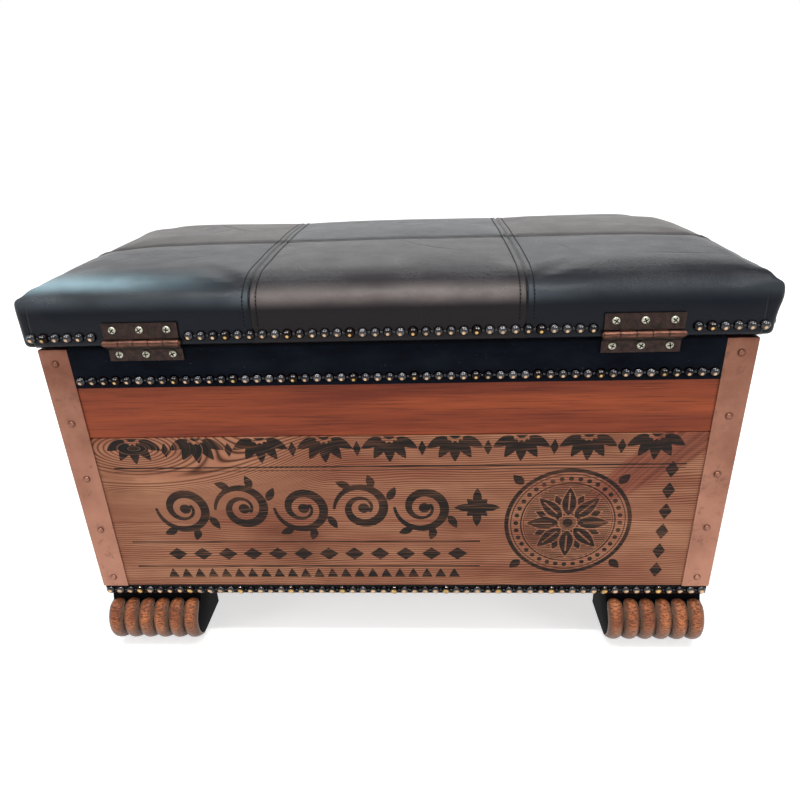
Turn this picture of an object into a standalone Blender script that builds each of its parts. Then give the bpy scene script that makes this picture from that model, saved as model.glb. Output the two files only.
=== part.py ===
# Storage chest: a crate box on four ribbed feet, with a padded leather lid on two butt hinges.
# Metres, +Z up. X runs along the chest, +Y is the hinge side, and the origin is on the floor
# under the middle of the box.
import math

import bmesh
import bpy
from mathutils import Matrix, Vector

# Fits
GAP = 0.0003
OVERRUN = 0.004

# Box
BOX_LENGTH = 0.696
BOX_DEPTH = 0.332
WALL = 0.015
BASE_THICKNESS = 0.012
CRATE_BOARD_HEIGHT = 0.195
RAIL_HEIGHT = 0.0985
BOARD_EDGE = 0.001

# Feet
GLIDE_RADIUS = 0.020
GLIDE_HEIGHT = 0.008
GLIDE_EDGE = 0.001
GLIDE_TOWARDS_MIDDLE = 0.009
GLIDE_FROM_FRONT = 0.024
FOOT_WIDTH = 0.108
FOOT_HEIGHT = 0.0615
FOOT_END_INSET = 0.0015
FOOT_REAR_INSET = 0.0557
FOOT_NECK_INSET = 0.0087
ROLL_INSET = 0.0067
ROLL_REACH = 0.0215
ROLL_HALF_HEIGHT = 0.0247
RIB_RELIEF = 0.006
RIB_COUNT = 6
RIB_STEPS = 4
ROLL_STEPS = 7
ROLL_RISE_SHARE = 0.4
RIB_MERGE_SHARE = 0.01
FOOT_SHARP = math.radians(50)
GLIDE_SHARP = math.radians(30)
GLIDE_SIDES = 16

# Cloth lining, turned over the rim
CLOTH = 0.0015
BAND_HEIGHT = 0.0403

# Copper corner straps
STRAP_LEG = 0.030
STRAP_THICKNESS = 0.001
STRAP_FOLD = 0.008
TACK_RADIUS = 0.0023
TACK_HEIGHT = 0.0012
TACK_COUNT = 5
TACK_TOP_INSET = 0.0150
TACK_FOOT_INSET = 0.0125
TACK_ROOT_SHARE = 1.3
TACK_CREST_SHARE = 0.55
TACK_SIDES = 6

# Nail strips
NAIL_PITCH = 0.012
NAIL_RADIUS = 0.005
NAIL_HEIGHT = 0.0032
LINK_WIDTH = 0.0022
LINK_HEIGHT = 0.0009
BAND_NAIL_RISE = 0.0083
BASE_NAIL_RISE = 0.0060
LID_NAIL_RISE = 0.0108
HEAD_TOP_SHARE = 0.5
HEAD_RISE_SHARE = 0.9
HEAD_RIDGE_SHARE = 0.42
HEAD_SHARP = math.radians(75)
COUNT_TOLERANCE = 0.0001

# Lid
LID_END_OVERHANG = 0.0115
LID_BACK_OVERHANG = 0.006
LID_FRONT_OVERHANG = 0.012
LID_SIDE_HEIGHT = 0.061
LID_CROWN = 0.006
LID_TOP_RADIUS = 0.025
LID_FOOT_RADIUS = 0.005
LID_CORNER_LOW = 0.003
LID_CORNER_HIGH = 0.012
LEATHER = 0.0015
LEATHER_HEM = 0.028
LID_BOARD_THICKNESS = 0.022
LID_LINING_THICKNESS = 0.002
LID_LINING_INSET = 0.008
SEAM_FROM_MIDDLE = 0.130
SEAM_HALF_WIDTH = 0.004
SEAM_DEPTH = 0.0012
GRID_SHARE = 0.5
CROWN_POWER_X = 3
CROWN_POWER_Y = 2.2
SHOULDER_STEPS = 3
SOFT_SHARP = math.radians(60)

# Hinges
HINGE_FROM_END = 0.1095
HINGE_LENGTH = 0.074
LEAF_WIDTH = 0.020
LEAF_THICKNESS = 0.0016
KNUCKLE_RADIUS = 0.0033
KNUCKLE_COUNT = 5
KNUCKLE_GAP = 0.0003
KNUCKLE_PROUD = 0.00015
NOTCH_CLEARANCE = 0.0006
CRANK_TOP_DROP = 0.004
CRANK_FOOT_DROP = 0.008
AXIS_ABOVE_LID = 0.0049
PIN_RADIUS = 0.0015
PIN_HEAD_RADIUS = 0.0024
PIN_HEAD_LENGTH = 0.0010
SCREW_FROM_AXIS = 0.013
SCREW_PITCH = 0.0267
SCREW_HEAD_RADIUS = 0.0039
SCREW_HEAD_HEIGHT = 0.0020
SCREW_SHANK_RADIUS = 0.0016
SCREW_LENGTH = 0.012
SCREW_POINT_SHARE = 0.2
SCREW_TAPER_SHARE = 0.75
SCREW_DOME_SHARES = ((0.85, 0.6), (0.35, 1.0))
SCREW_SIDES = 8
HOLE_SIDES = 8
KNUCKLE_SIDES = 12
PIN_SIDES = 10
TURNED_SHARP = math.radians(40)

# Heights, stacked from the floor with one gap between pieces
FOOT_Z = GLIDE_HEIGHT + GAP
BASE_Z = FOOT_Z + FOOT_HEIGHT + GAP
CRATE_Z = BASE_Z + BASE_THICKNESS + GAP
RAIL_Z = CRATE_Z + CRATE_BOARD_HEIGHT + GAP
RIM_Z = RAIL_Z + RAIL_HEIGHT
CLOTH_RIM_Z = RIM_Z + GAP + CLOTH
LID_LINING_Z = CLOTH_RIM_Z + GAP
LID_Z = LID_LINING_Z + LID_LINING_THICKNESS + GAP
LID_TOP_Z = LID_Z + LID_SIDE_HEIGHT

# Plan
HALF_LENGTH = BOX_LENGTH / 2
HALF_DEPTH = BOX_DEPTH / 2
LID_HALF_LENGTH = HALF_LENGTH + LID_END_OVERHANG
LID_BACK_Y = HALF_DEPTH + LID_BACK_OVERHANG
LID_FRONT_Y = -HALF_DEPTH - LID_FRONT_OVERHANG
LID_MIDDLE_Y = (LID_BACK_Y + LID_FRONT_Y) / 2
LID_HALF_DEPTH = (LID_BACK_Y - LID_FRONT_Y) / 2
LID_GRID_X = LID_HALF_LENGTH - LID_TOP_RADIUS
LID_GRID_Y = LID_HALF_DEPTH - LID_TOP_RADIUS
STRAP_FACE = GAP + STRAP_THICKNESS
STRAP_COVER = STRAP_LEG - STRAP_FACE

# Hinge: the upper leaf lies on the lid's back, the lower one on the cloth band
HINGE_FROM_MIDDLE = HALF_LENGTH - HINGE_FROM_END
LEAF_BACK_Y = LID_BACK_Y + GAP
LID_LEAF_FRONT_Y = LEAF_BACK_Y + LEAF_THICKNESS
BOX_LEAF_BACK_Y = HALF_DEPTH + GAP + CLOTH + GAP
BOX_LEAF_FRONT_Y = BOX_LEAF_BACK_Y + LEAF_THICKNESS
AXIS_Y = LEAF_BACK_Y + KNUCKLE_RADIUS - KNUCKLE_PROUD
AXIS_Z = LID_Z + AXIS_ABOVE_LID

LOOKS = {
    "crate_wood": ((0.647, 0.431, 0.294), 0.62, 0.0),
    "rail_wood": ((0.588, 0.294, 0.188), 0.38, 0.0),
    "base_wood": ((0.30, 0.20, 0.15), 0.60, 0.0),
    "carved_wood": ((0.588, 0.333, 0.216), 0.42, 0.0),
    "rubber": ((0.07, 0.07, 0.075), 0.75, 0.0),
    "black_cloth": ((0.047, 0.063, 0.094), 0.90, 0.0),
    "copper": ((0.70, 0.44, 0.35), 0.38, 0.9),
    "nail_metal": ((0.36, 0.33, 0.30), 0.22, 0.95),
    "hinge_bronze": ((0.24, 0.19, 0.175), 0.48, 0.8),
    "screw_zinc": ((0.74, 0.72, 0.64), 0.32, 0.95),
    "plywood": ((0.66, 0.52, 0.36), 0.70, 0.0),
    "foam": ((0.83, 0.79, 0.62), 0.95, 0.0),
    "leather": ((0.12, 0.15, 0.18), 0.42, 0.0),
}


def clear_scene():
    for ob in list(bpy.data.objects):
        bpy.data.objects.remove(ob, do_unlink=True)


def linear(channel):
    if channel <= 0.04045:
        return channel / 12.92
    return ((channel + 0.055) / 1.055) ** 2.4


def add_material(name, look):
    colour, roughness, metallic = LOOKS[look]
    material = bpy.data.materials.new(name)
    material.use_nodes = True
    shader = material.node_tree.nodes["Principled BSDF"]
    shader.inputs["Base Color"].default_value = [linear(c) for c in colour] + [1.0]
    shader.inputs["Roughness"].default_value = roughness
    shader.inputs["Metallic"].default_value = metallic
    return material


def place(name, mesh, look, location=(0, 0, 0), turn=0.0, parent=None):
    """One named piece. turn is about Z; location is a world place even under a parent."""
    ob = bpy.data.objects.new(name, mesh)
    bpy.context.scene.collection.objects.link(ob)
    ob.location = Vector(location)
    ob.rotation_euler = (0, 0, turn)
    if parent:
        ob.parent = parent
        ob.location -= parent.location
    if not mesh.materials:
        mesh.materials.append(None)
    ob.material_slots[0].link = "OBJECT"
    ob.material_slots[0].material = add_material(name, look)
    return ob


def to_mesh(name, bm, smooth_angle=None):
    bmesh.ops.recalc_face_normals(bm, faces=bm.faces)
    mesh = bpy.data.meshes.new(name)
    bm.to_mesh(mesh)
    bm.free()
    if smooth_angle:
        mesh.shade_smooth()
        mesh.set_sharp_from_angle(angle=smooth_angle)
    return mesh


def block(bm, low, high):
    """A plain box between two corners."""
    size = Vector(high) - Vector(low)
    middle = (Vector(high) + Vector(low)) / 2
    matrix = Matrix.Translation(middle) @ Matrix.Diagonal((*size, 1))
    bmesh.ops.create_cube(bm, size=1, matrix=matrix)


def rod(bm, start, end, radius, sides):
    """A round bar from start to end."""
    along = Vector(end) - Vector(start)
    middle = (Vector(end) + Vector(start)) / 2
    turn = along.to_track_quat("Z", "Y").to_matrix().to_4x4()
    bmesh.ops.create_cone(
        bm, cap_ends=True, segments=sides, radius1=radius, radius2=radius,
        depth=along.length, matrix=Matrix.Translation(middle) @ turn,
    )


def prism(bm, outline, axis, start, end):
    """A flat outline of two-number points pushed along an axis from start to end."""
    spread = {"X": lambda a, b, t: (t, a, b), "Z": lambda a, b, t: (a, b, t)}[axis]
    near = [bm.verts.new(spread(a, b, start)) for a, b in outline]
    face = bm.faces.new(near)
    moved = bmesh.ops.extrude_face_region(bm, geom=[face])["geom"]
    push = Vector(spread(0, 0, end - start))
    bmesh.ops.translate(bm, vec=push, verts=[v for v in moved if isinstance(v, bmesh.types.BMVert)])


def bridge(bm, ring_a, ring_b):
    """Quads between two rings of as many points."""
    count = len(ring_a)
    for i in range(count):
        j = (i + 1) % count
        bm.faces.new((ring_a[i], ring_a[j], ring_b[j], ring_b[i]))


def shaped(mesh, steps):
    """The mesh after Boolean steps, each an operation and a cutter mesh."""
    base = bpy.data.objects.new("shaping", mesh)
    bpy.context.scene.collection.objects.link(base)
    cutters = []
    for operation, cutter_mesh in steps:
        cutter = bpy.data.objects.new("cutter", cutter_mesh)
        bpy.context.scene.collection.objects.link(cutter)
        cutter.hide_render = True
        cutter.display_type = "WIRE"
        step = base.modifiers.new(operation, "BOOLEAN")
        step.operation = operation
        step.object = cutter
        cutters.append(cutter)
    bpy.context.view_layer.update()
    result = bpy.data.meshes.new_from_object(base.evaluated_get(bpy.context.evaluated_depsgraph_get()))
    for ob in cutters + [base]:
        bpy.data.objects.remove(ob, do_unlink=True)
    return result


def board(name, low, high, look, parent=None, cuts=()):
    """A plank with softened edges."""
    low = Vector(low)
    high = Vector(high)
    middle = (low + high) / 2
    bm = bmesh.new()
    block(bm, low - middle, high - middle)
    bmesh.ops.bevel(bm, geom=bm.edges[:], offset=BOARD_EDGE, segments=1, affect="EDGES")
    mesh = to_mesh(name, bm)
    if cuts:
        bm = bmesh.new()
        for start, end, radius in cuts:
            rod(bm, Vector(start) - middle, Vector(end) - middle, radius, HOLE_SIDES)
        mesh = shaped(mesh, [("DIFFERENCE", to_mesh(name + "_holes", bm))])
    return place(name, mesh, look, middle, parent=parent)


def screw_places(side):
    """Screw points on the hinge side: side is 1 for the lid leaf and -1 for the box leaf."""
    points = []
    for hinge in (-1, 1):
        for step in (-1, 0, 1):
            x = hinge * HINGE_FROM_MIDDLE + step * SCREW_PITCH
            points.append((x, AXIS_Z + side * SCREW_FROM_AXIS))
    return points


def pilot_holes(side, leaf_front_y):
    """Blind holes for the hinge screws, behind a leaf whose outer face is at leaf_front_y.

    A screw head seats one gap clear of the leaf, so the hole ends one gap beyond its point.
    """
    radius = SCREW_SHANK_RADIUS + GAP
    tip = leaf_front_y - SCREW_LENGTH
    return [((x, leaf_front_y + OVERRUN, z), (x, tip, z), radius) for x, z in screw_places(side)]


def box_boards():
    board(
        "base_board", (-HALF_LENGTH, -HALF_DEPTH, BASE_Z),
        (HALF_LENGTH, HALF_DEPTH, BASE_Z + BASE_THICKNESS), "base_wood",
    )
    courses = (
        ("crate_board", CRATE_Z, CRATE_Z + CRATE_BOARD_HEIGHT, "crate_wood"),
        ("top_rail", RAIL_Z, RIM_Z, "rail_wood"),
    )
    for course, low_z, high_z, look in courses:
        for side, sign in (("back", 1), ("front", -1)):
            near, far = sorted((sign * HALF_DEPTH, sign * (HALF_DEPTH - WALL)))
            holes = ()
            if course == "top_rail" and side == "back":
                holes = pilot_holes(-1, BOX_LEAF_FRONT_Y)
            board(
                f"{course}_{side}", (-HALF_LENGTH, near, low_z), (HALF_LENGTH, far, high_z),
                look, cuts=holes,
            )
        reach = HALF_DEPTH - WALL - GAP
        for side, sign in (("left", -1), ("right", 1)):
            near, far = sorted((sign * HALF_LENGTH, sign * (HALF_LENGTH - WALL)))
            board(f"{course}_{side}", (near, -reach, low_z), (far, reach, high_z), look)


def rectangle_ring(bm, outset, z):
    """Four corners of the box plan, grown by outset."""
    x = HALF_LENGTH + outset
    y = HALF_DEPTH + outset
    return [bm.verts.new(p) for p in ((-x, -y, z), (x, -y, z), (x, y, z), (-x, y, z))]


def box_lining():
    """Black cloth over the floor and the walls inside, over the rim, and down the outside."""
    bm = bmesh.new()
    floor_z = BASE_Z + BASE_THICKNESS + GAP
    inside = -WALL - GAP
    hem_z = RIM_Z - BAND_HEIGHT
    hidden = [
        rectangle_ring(bm, inside, floor_z),
        rectangle_ring(bm, inside, RIM_Z + GAP),
        rectangle_ring(bm, GAP, RIM_Z + GAP),
        rectangle_ring(bm, GAP, hem_z),
    ]
    shown = [
        rectangle_ring(bm, inside - CLOTH, floor_z + CLOTH),
        rectangle_ring(bm, inside - CLOTH, CLOTH_RIM_Z),
        rectangle_ring(bm, GAP + CLOTH, CLOTH_RIM_Z),
        rectangle_ring(bm, GAP + CLOTH, hem_z),
    ]
    for rings in (hidden, shown):
        for ring_a, ring_b in zip(rings, rings[1:]):
            bridge(bm, ring_a, ring_b)
        bm.faces.new(rings[0])
    bridge(bm, hidden[-1], shown[-1])
    mesh = to_mesh("box_lining", bm)

    cutter = bmesh.new()
    past = HALF_LENGTH + OVERRUN
    past_y = HALF_DEPTH + OVERRUN
    leg = STRAP_COVER + GAP
    fold = STRAP_FOLD - STRAP_FACE + GAP
    for sx in (-1, 1):
        for sy in (-1, 1):
            corner = [
                (HALF_LENGTH - leg, HALF_DEPTH - fold), (HALF_LENGTH - fold, HALF_DEPTH - fold),
                (HALF_LENGTH - fold, HALF_DEPTH - leg), (past, HALF_DEPTH - leg),
                (past, past_y), (HALF_LENGTH - leg, past_y),
            ]
            outline = [(sx * x, sy * y) for x, y in corner]
            prism(cutter, outline, "Z", hem_z - OVERRUN, CLOTH_RIM_Z + OVERRUN)
    holes = bmesh.new()
    for start, end, radius in pilot_holes(-1, BOX_LEAF_FRONT_Y):
        rod(holes, start, (end[0], HALF_DEPTH - WALL / 2, end[2]), radius, HOLE_SIDES)
    steps = [
        ("DIFFERENCE", to_mesh("strap_cuts", cutter)),
        ("DIFFERENCE", to_mesh("screw_cuts", holes)),
    ]
    place("box_lining", shaped(mesh, steps), "black_cloth")


def strap_mesh():
    """Copper angle for the corner at +X, +Y, with its origin on the box corner at the lowest edge."""
    height = RIM_Z + GAP + STRAP_THICKNESS - CRATE_Z
    outer = STRAP_FACE
    end = STRAP_FACE - STRAP_LEG
    bm = bmesh.new()

    def angle_outline(width):
        inner = outer - width
        return [(outer, outer), (end, outer), (end, inner), (inner, inner), (inner, end), (outer, end)]

    wall_low = [bm.verts.new((x, y, 0)) for x, y in angle_outline(STRAP_THICKNESS)]
    fold_z = height - STRAP_THICKNESS
    wall_high = [bm.verts.new((x, y, fold_z)) for x, y in angle_outline(STRAP_THICKNESS)]
    lip_low = [bm.verts.new((x, y, fold_z)) for x, y in angle_outline(STRAP_FOLD)[2:5]]
    lip_high = [bm.verts.new((x, y, height)) for x, y in angle_outline(STRAP_FOLD)]
    bm.faces.new(wall_low)
    bridge(bm, wall_low, wall_high)
    bm.faces.new(wall_high[2:5] + lip_low[::-1])
    top_low = wall_high[:2] + lip_low + wall_high[5:]
    for i in range(6):
        j = (i + 1) % 6
        ring = [top_low[i], top_low[j], lip_high[j], lip_high[i]]
        if i == 1:
            ring.insert(1, wall_high[2])
        if i == 4:
            ring.insert(1, wall_high[4])
        bm.faces.new(ring)
    bm.faces.new(lip_high)
    mesh = to_mesh("corner_strap", bm)

    tacks = bmesh.new()
    middle = STRAP_FACE - STRAP_LEG / 2
    first = TACK_FOOT_INSET
    last = height - TACK_TOP_INSET
    for i in range(TACK_COUNT):
        z = first + (last - first) * i / (TACK_COUNT - 1)
        for turn in (0, 1):
            root = outer - STRAP_THICKNESS / 2
            tip = outer + TACK_HEIGHT
            base = Vector((middle, root, z)) if turn else Vector((root, middle, z))
            head = Vector((middle, tip, z)) if turn else Vector((tip, middle, z))
            along = (head - base).to_track_quat("Z", "Y").to_matrix().to_4x4()
            bmesh.ops.create_cone(
                tacks, cap_ends=True, segments=TACK_SIDES, radius1=TACK_RADIUS * TACK_ROOT_SHARE,
                radius2=TACK_RADIUS * TACK_CREST_SHARE, depth=(head - base).length,
                matrix=Matrix.Translation((head + base) / 2) @ along,
            )
    return shaped(mesh, [("UNION", to_mesh("tacks", tacks))])


def corner_straps():
    mesh = strap_mesh()
    corners = (
        ("back_right", 1, 1, 0), ("back_left", -1, 1, math.pi / 2),
        ("front_left", -1, -1, math.pi), ("front_right", 1, -1, -math.pi / 2),
    )
    for corner, sx, sy, turn in corners:
        location = (sx * HALF_LENGTH, sy * HALF_DEPTH, CRATE_Z)
        place(f"corner_strap_{corner}", mesh, "copper", location, turn)


def nail_strip_mesh(count):
    """A row of domed heads joined by thin links, along X, with its flat back at y = 0."""
    bm = bmesh.new()
    half = (count - 1) / 2
    head_x = NAIL_RADIUS * HEAD_TOP_SHARE
    head_z = NAIL_RADIUS * HEAD_RISE_SHARE
    ridge = NAIL_RADIUS * HEAD_RIDGE_SHARE

    def neck(x):
        places = ((x, 0, LINK_WIDTH / 2), (x, 0, -LINK_WIDTH / 2), (x, LINK_HEIGHT, 0))
        return [bm.verts.new(p) for p in places]

    left = neck(-half * NAIL_PITCH - NAIL_RADIUS)
    bm.faces.new(left)
    for i in range(count):
        x = (i - half) * NAIL_PITCH
        last = i == count - 1
        right = neck(x + (NAIL_RADIUS if last else NAIL_PITCH / 2))
        top = [bm.verts.new((x + side * head_x, 0, head_z)) for side in (-1, 1)]
        low = [bm.verts.new((x + side * head_x, 0, -head_z)) for side in (-1, 1)]
        crest = [bm.verts.new((x + side * ridge, NAIL_HEIGHT, 0)) for side in (-1, 1)]
        bm.faces.new((left[1], left[0], top[0], top[1], right[0], right[1], low[1], low[0]))
        for edge, n in ((top, 0), (low, 1)):
            bm.faces.new((left[n], edge[0], crest[0], left[2]))
            bm.faces.new((edge[0], edge[1], crest[1], crest[0]))
            bm.faces.new((edge[1], right[n], right[2], crest[1]))
        left = right
    bm.faces.new(left)
    return to_mesh("nail_strip", bm, HEAD_SHARP)


def heads_along(length):
    """How many heads fit on a straight run of this length."""
    return int((length - 2 * NAIL_RADIUS) / NAIL_PITCH + COUNT_TOLERANCE) + 1


def strips_round(name, half_x, half_y, middle_y, trim_x, trim_y, z, parent=None, sides=None):
    """Nail strips on the four upright faces of a box of this half size."""
    across = {
        "back": (0, middle_y + half_y + GAP, 0, half_x - trim_x),
        "front": (0, middle_y - half_y - GAP, math.pi, half_x - trim_x),
        "left": (-half_x - GAP, middle_y, math.pi / 2, half_y - trim_y),
        "right": (half_x + GAP, middle_y, -math.pi / 2, half_y - trim_y),
    }
    for side in sides or across:
        x, y, turn, reach = across[side]
        mesh = nail_strip_mesh(heads_along(2 * reach))
        place(f"{name}_{side}", mesh, "nail_metal", (x, y, z), turn, parent)


def box_nail_strips():
    band_z = RIM_Z - BAND_HEIGHT + BAND_NAIL_RISE
    cloth_face = GAP + CLOTH
    trim = STRAP_COVER + GAP + cloth_face
    strips_round(
        "band_nails", HALF_LENGTH + cloth_face, HALF_DEPTH + cloth_face, 0, trim, trim, band_z,
    )
    strips_round("base_nails", HALF_LENGTH, HALF_DEPTH, 0, 0, 0, BASE_Z + BASE_NAIL_RISE)


def foot_section(relief):
    """Outline of a foot in Y and Z, from the neck round the roll; y = 0 is the box face."""
    neck = -FOOT_NECK_INSET
    middle_z = ROLL_HALF_HEIGHT
    points = [(-FOOT_REAR_INSET, FOOT_HEIGHT), (neck, FOOT_HEIGHT)]
    for i in range(ROLL_STEPS + 1):
        angle = math.pi / 2 - math.pi * i / ROLL_STEPS
        swell = relief * math.sin(math.pi * i / ROLL_STEPS)
        y = -ROLL_INSET + (ROLL_REACH + swell) * math.cos(angle)
        z = middle_z + (ROLL_HALF_HEIGHT + swell * ROLL_RISE_SHARE) * math.sin(angle)
        points.append((max(y, neck) if i == 0 else y, max(z, 0)))
    points.append((-FOOT_REAR_INSET, 0))
    return points


def foot_mesh():
    """A block whose outer face is a roll of six upright ribs with rounded grooves between them."""
    bm = bmesh.new()
    rings = []
    steps = RIB_COUNT * RIB_STEPS
    for i in range(steps + 1):
        across = (i % RIB_STEPS) / RIB_STEPS * 2 - 1
        relief = RIB_RELIEF * math.sqrt(max(0, 1 - across * across))
        x = FOOT_WIDTH * (i / steps - 0.5)
        rings.append([bm.verts.new((x, y, z)) for y, z in foot_section(relief)])
    for ring_a, ring_b in zip(rings, rings[1:]):
        bridge(bm, ring_a, ring_b)
    bm.faces.new(rings[0])
    bm.faces.new(rings[-1])
    bmesh.ops.remove_doubles(bm, verts=bm.verts, dist=BOARD_EDGE * RIB_MERGE_SHARE)
    return to_mesh("foot", bm, FOOT_SHARP)


def feet():
    foot = foot_mesh()
    bm = bmesh.new()
    rod(bm, (0, 0, 0), (0, 0, GLIDE_HEIGHT), GLIDE_RADIUS, GLIDE_SIDES)
    rims = [e for e in bm.edges if abs(e.verts[0].co.z - e.verts[1].co.z) < GLIDE_EDGE / 2]
    bmesh.ops.bevel(bm, geom=rims, offset=GLIDE_EDGE, segments=1, affect="EDGES")
    glide = to_mesh("glide", bm, GLIDE_SHARP)
    foot_x = HALF_LENGTH - FOOT_END_INSET - FOOT_WIDTH / 2
    glide_x = foot_x - GLIDE_TOWARDS_MIDDLE
    glide_y = HALF_DEPTH - GLIDE_FROM_FRONT
    for y_name, sy, turn in (("back", 1, 0), ("front", -1, math.pi)):
        for x_name, sx in (("left", -1), ("right", 1)):
            corner = f"{y_name}_{x_name}"
            place(f"foot_{corner}", foot, "carved_wood", (sx * foot_x, sy * HALF_DEPTH, FOOT_Z), turn)
            place(f"glide_{corner}", glide, "rubber", (sx * glide_x, sy * glide_y, 0))


def seam_drop(distance):
    """How far a sewn seam pulls the leather in, by distance from its line."""
    return SEAM_DEPTH if abs(distance) < SEAM_HALF_WIDTH / 2 else 0


def plan_positions(half, seams, corner):
    """Grid positions along one side, from corner to corner, with a step each side of a seam."""
    inner = [half * GRID_SHARE, -half * GRID_SHARE, 0]
    for seam in seams:
        inner += [seam - SEAM_HALF_WIDTH, seam, seam + SEAM_HALF_WIDTH]
    edges = [-half, -half + corner, half - corner, half]
    return sorted(set(inner + edges))


LID_XS = plan_positions(LID_GRID_X, (-SEAM_FROM_MIDDLE, SEAM_FROM_MIDDLE), LID_CORNER_HIGH)
LID_YS = plan_positions(LID_GRID_Y, (0,), LID_CORNER_HIGH)


def lid_point(i, j, inset, corner):
    """Plan place of grid line crossing i, j when the outline is drawn in by inset."""
    last_x = len(LID_XS) - 1
    last_y = len(LID_YS) - 1
    half_x = LID_HALF_LENGTH - inset
    half_y = LID_HALF_DEPTH - inset
    x = LID_XS[i]
    y = LID_YS[j]
    if i in (0, last_x):
        x = math.copysign(half_x, x)
    elif i in (1, last_x - 1):
        x = math.copysign(half_x - corner, x)
    if j in (0, last_y):
        y = math.copysign(half_y, y)
    elif j in (1, last_y - 1):
        y = math.copysign(half_y - corner, y)
    if i in (0, last_x) and j in (0, last_y):
        pull = corner * (1 - math.sqrt(0.5))
        x -= math.copysign(pull, x)
        y -= math.copysign(pull, y)
    return x, y


def lid_rim_lines():
    """Grid line crossings round the edge of the lid, in order."""
    last_x = len(LID_XS) - 1
    last_y = len(LID_YS) - 1
    rim = [(i, 0) for i in range(last_x)]
    rim += [(last_x, j) for j in range(last_y)]
    rim += [(i, last_y) for i in range(last_x, 0, -1)]
    rim += [(0, j) for j in range(last_y, 0, -1)]
    return rim


def lid_ring(bm, inset, corner, z):
    """A ring round the lid; a seam that runs over the edge draws it in a little."""
    ring = []
    last_y = len(LID_YS) - 1
    for i, j in lid_rim_lines():
        x, y = lid_point(i, j, inset, corner)
        if j in (0, last_y):
            drop = seam_drop(abs(LID_XS[i]) - SEAM_FROM_MIDDLE)
            y -= math.copysign(drop, y)
        else:
            drop = seam_drop(LID_YS[j])
            x -= math.copysign(drop, x)
        ring.append(bm.verts.new((x, y + LID_MIDDLE_Y, z)))
    return ring


def lid_levels(inward):
    """Inset, corner radius and height of the rings from the underside to the top, drawn in by inward."""
    levels = []
    low = LID_FOOT_RADIUS
    high = LID_TOP_RADIUS
    corner = LID_CORNER_LOW - inward
    for angle in (0, math.pi / 4, math.pi / 2):
        inset = low - (low - inward) * math.sin(angle)
        levels.append((inset, corner, LID_Z + low - (low - inward) * math.cos(angle)))
    shoulder = LID_TOP_Z - high
    for i in range(SHOULDER_STEPS + 1):
        angle = math.pi / 2 * i / SHOULDER_STEPS
        inset = high - (high - inward) * math.cos(angle)
        grown = LID_CORNER_LOW + (LID_CORNER_HIGH - LID_CORNER_LOW) * (i + 1) / (SHOULDER_STEPS + 1)
        levels.append((inset, grown - inward, shoulder + (high - inward) * math.sin(angle)))
    return levels


def side_level(levels, z):
    """The ring at height z on the straight side, between the foot radius and the shoulder."""
    low, high = levels[2], levels[3]
    share = (z - low[2]) / (high[2] - low[2])
    return (low[0], low[1] + (high[1] - low[1]) * share, z)


def lid_top(bm, rim_ring, inward, corner):
    """The crowned top inside the last ring, with its sewn seams."""
    rim = dict(zip(lid_rim_lines(), rim_ring))
    verts = []
    for j, y in enumerate(LID_YS):
        row = []
        for i, x in enumerate(LID_XS):
            if (i, j) in rim:
                row.append(rim[i, j])
                continue
            px, py = lid_point(i, j, LID_TOP_RADIUS, corner)
            fall_x = abs(px / LID_GRID_X) ** CROWN_POWER_X
            fall_y = abs(py / LID_GRID_Y) ** CROWN_POWER_Y
            crown = (1 - fall_x) * (1 - fall_y)
            drop = max(seam_drop(abs(x) - SEAM_FROM_MIDDLE), seam_drop(y))
            z = LID_TOP_Z - inward + LID_CROWN * crown - drop
            row.append(bm.verts.new((px, py + LID_MIDDLE_Y, z)))
        verts.append(row)
    for low, high in zip(verts, verts[1:]):
        for i in range(len(LID_XS) - 1):
            bm.faces.new((low[i], low[i + 1], high[i + 1], high[i]))


def lid_skin(bm, inward, levels):
    """Rings through the levels, closed by the crowned top; gives back the lowest ring."""
    rings = [lid_ring(bm, *level) for level in levels]
    for ring_a, ring_b in zip(rings, rings[1:]):
        bridge(bm, ring_a, ring_b)
    lid_top(bm, rings[-1], inward, levels[-1][1])
    return rings[0]


def to_lid(mesh):
    """Moves a mesh made in world places to the hinge axis, which is the lid's origin."""
    mesh.transform(Matrix.Translation((0, -AXIS_Y, -AXIS_Z)))
    return mesh


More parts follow.
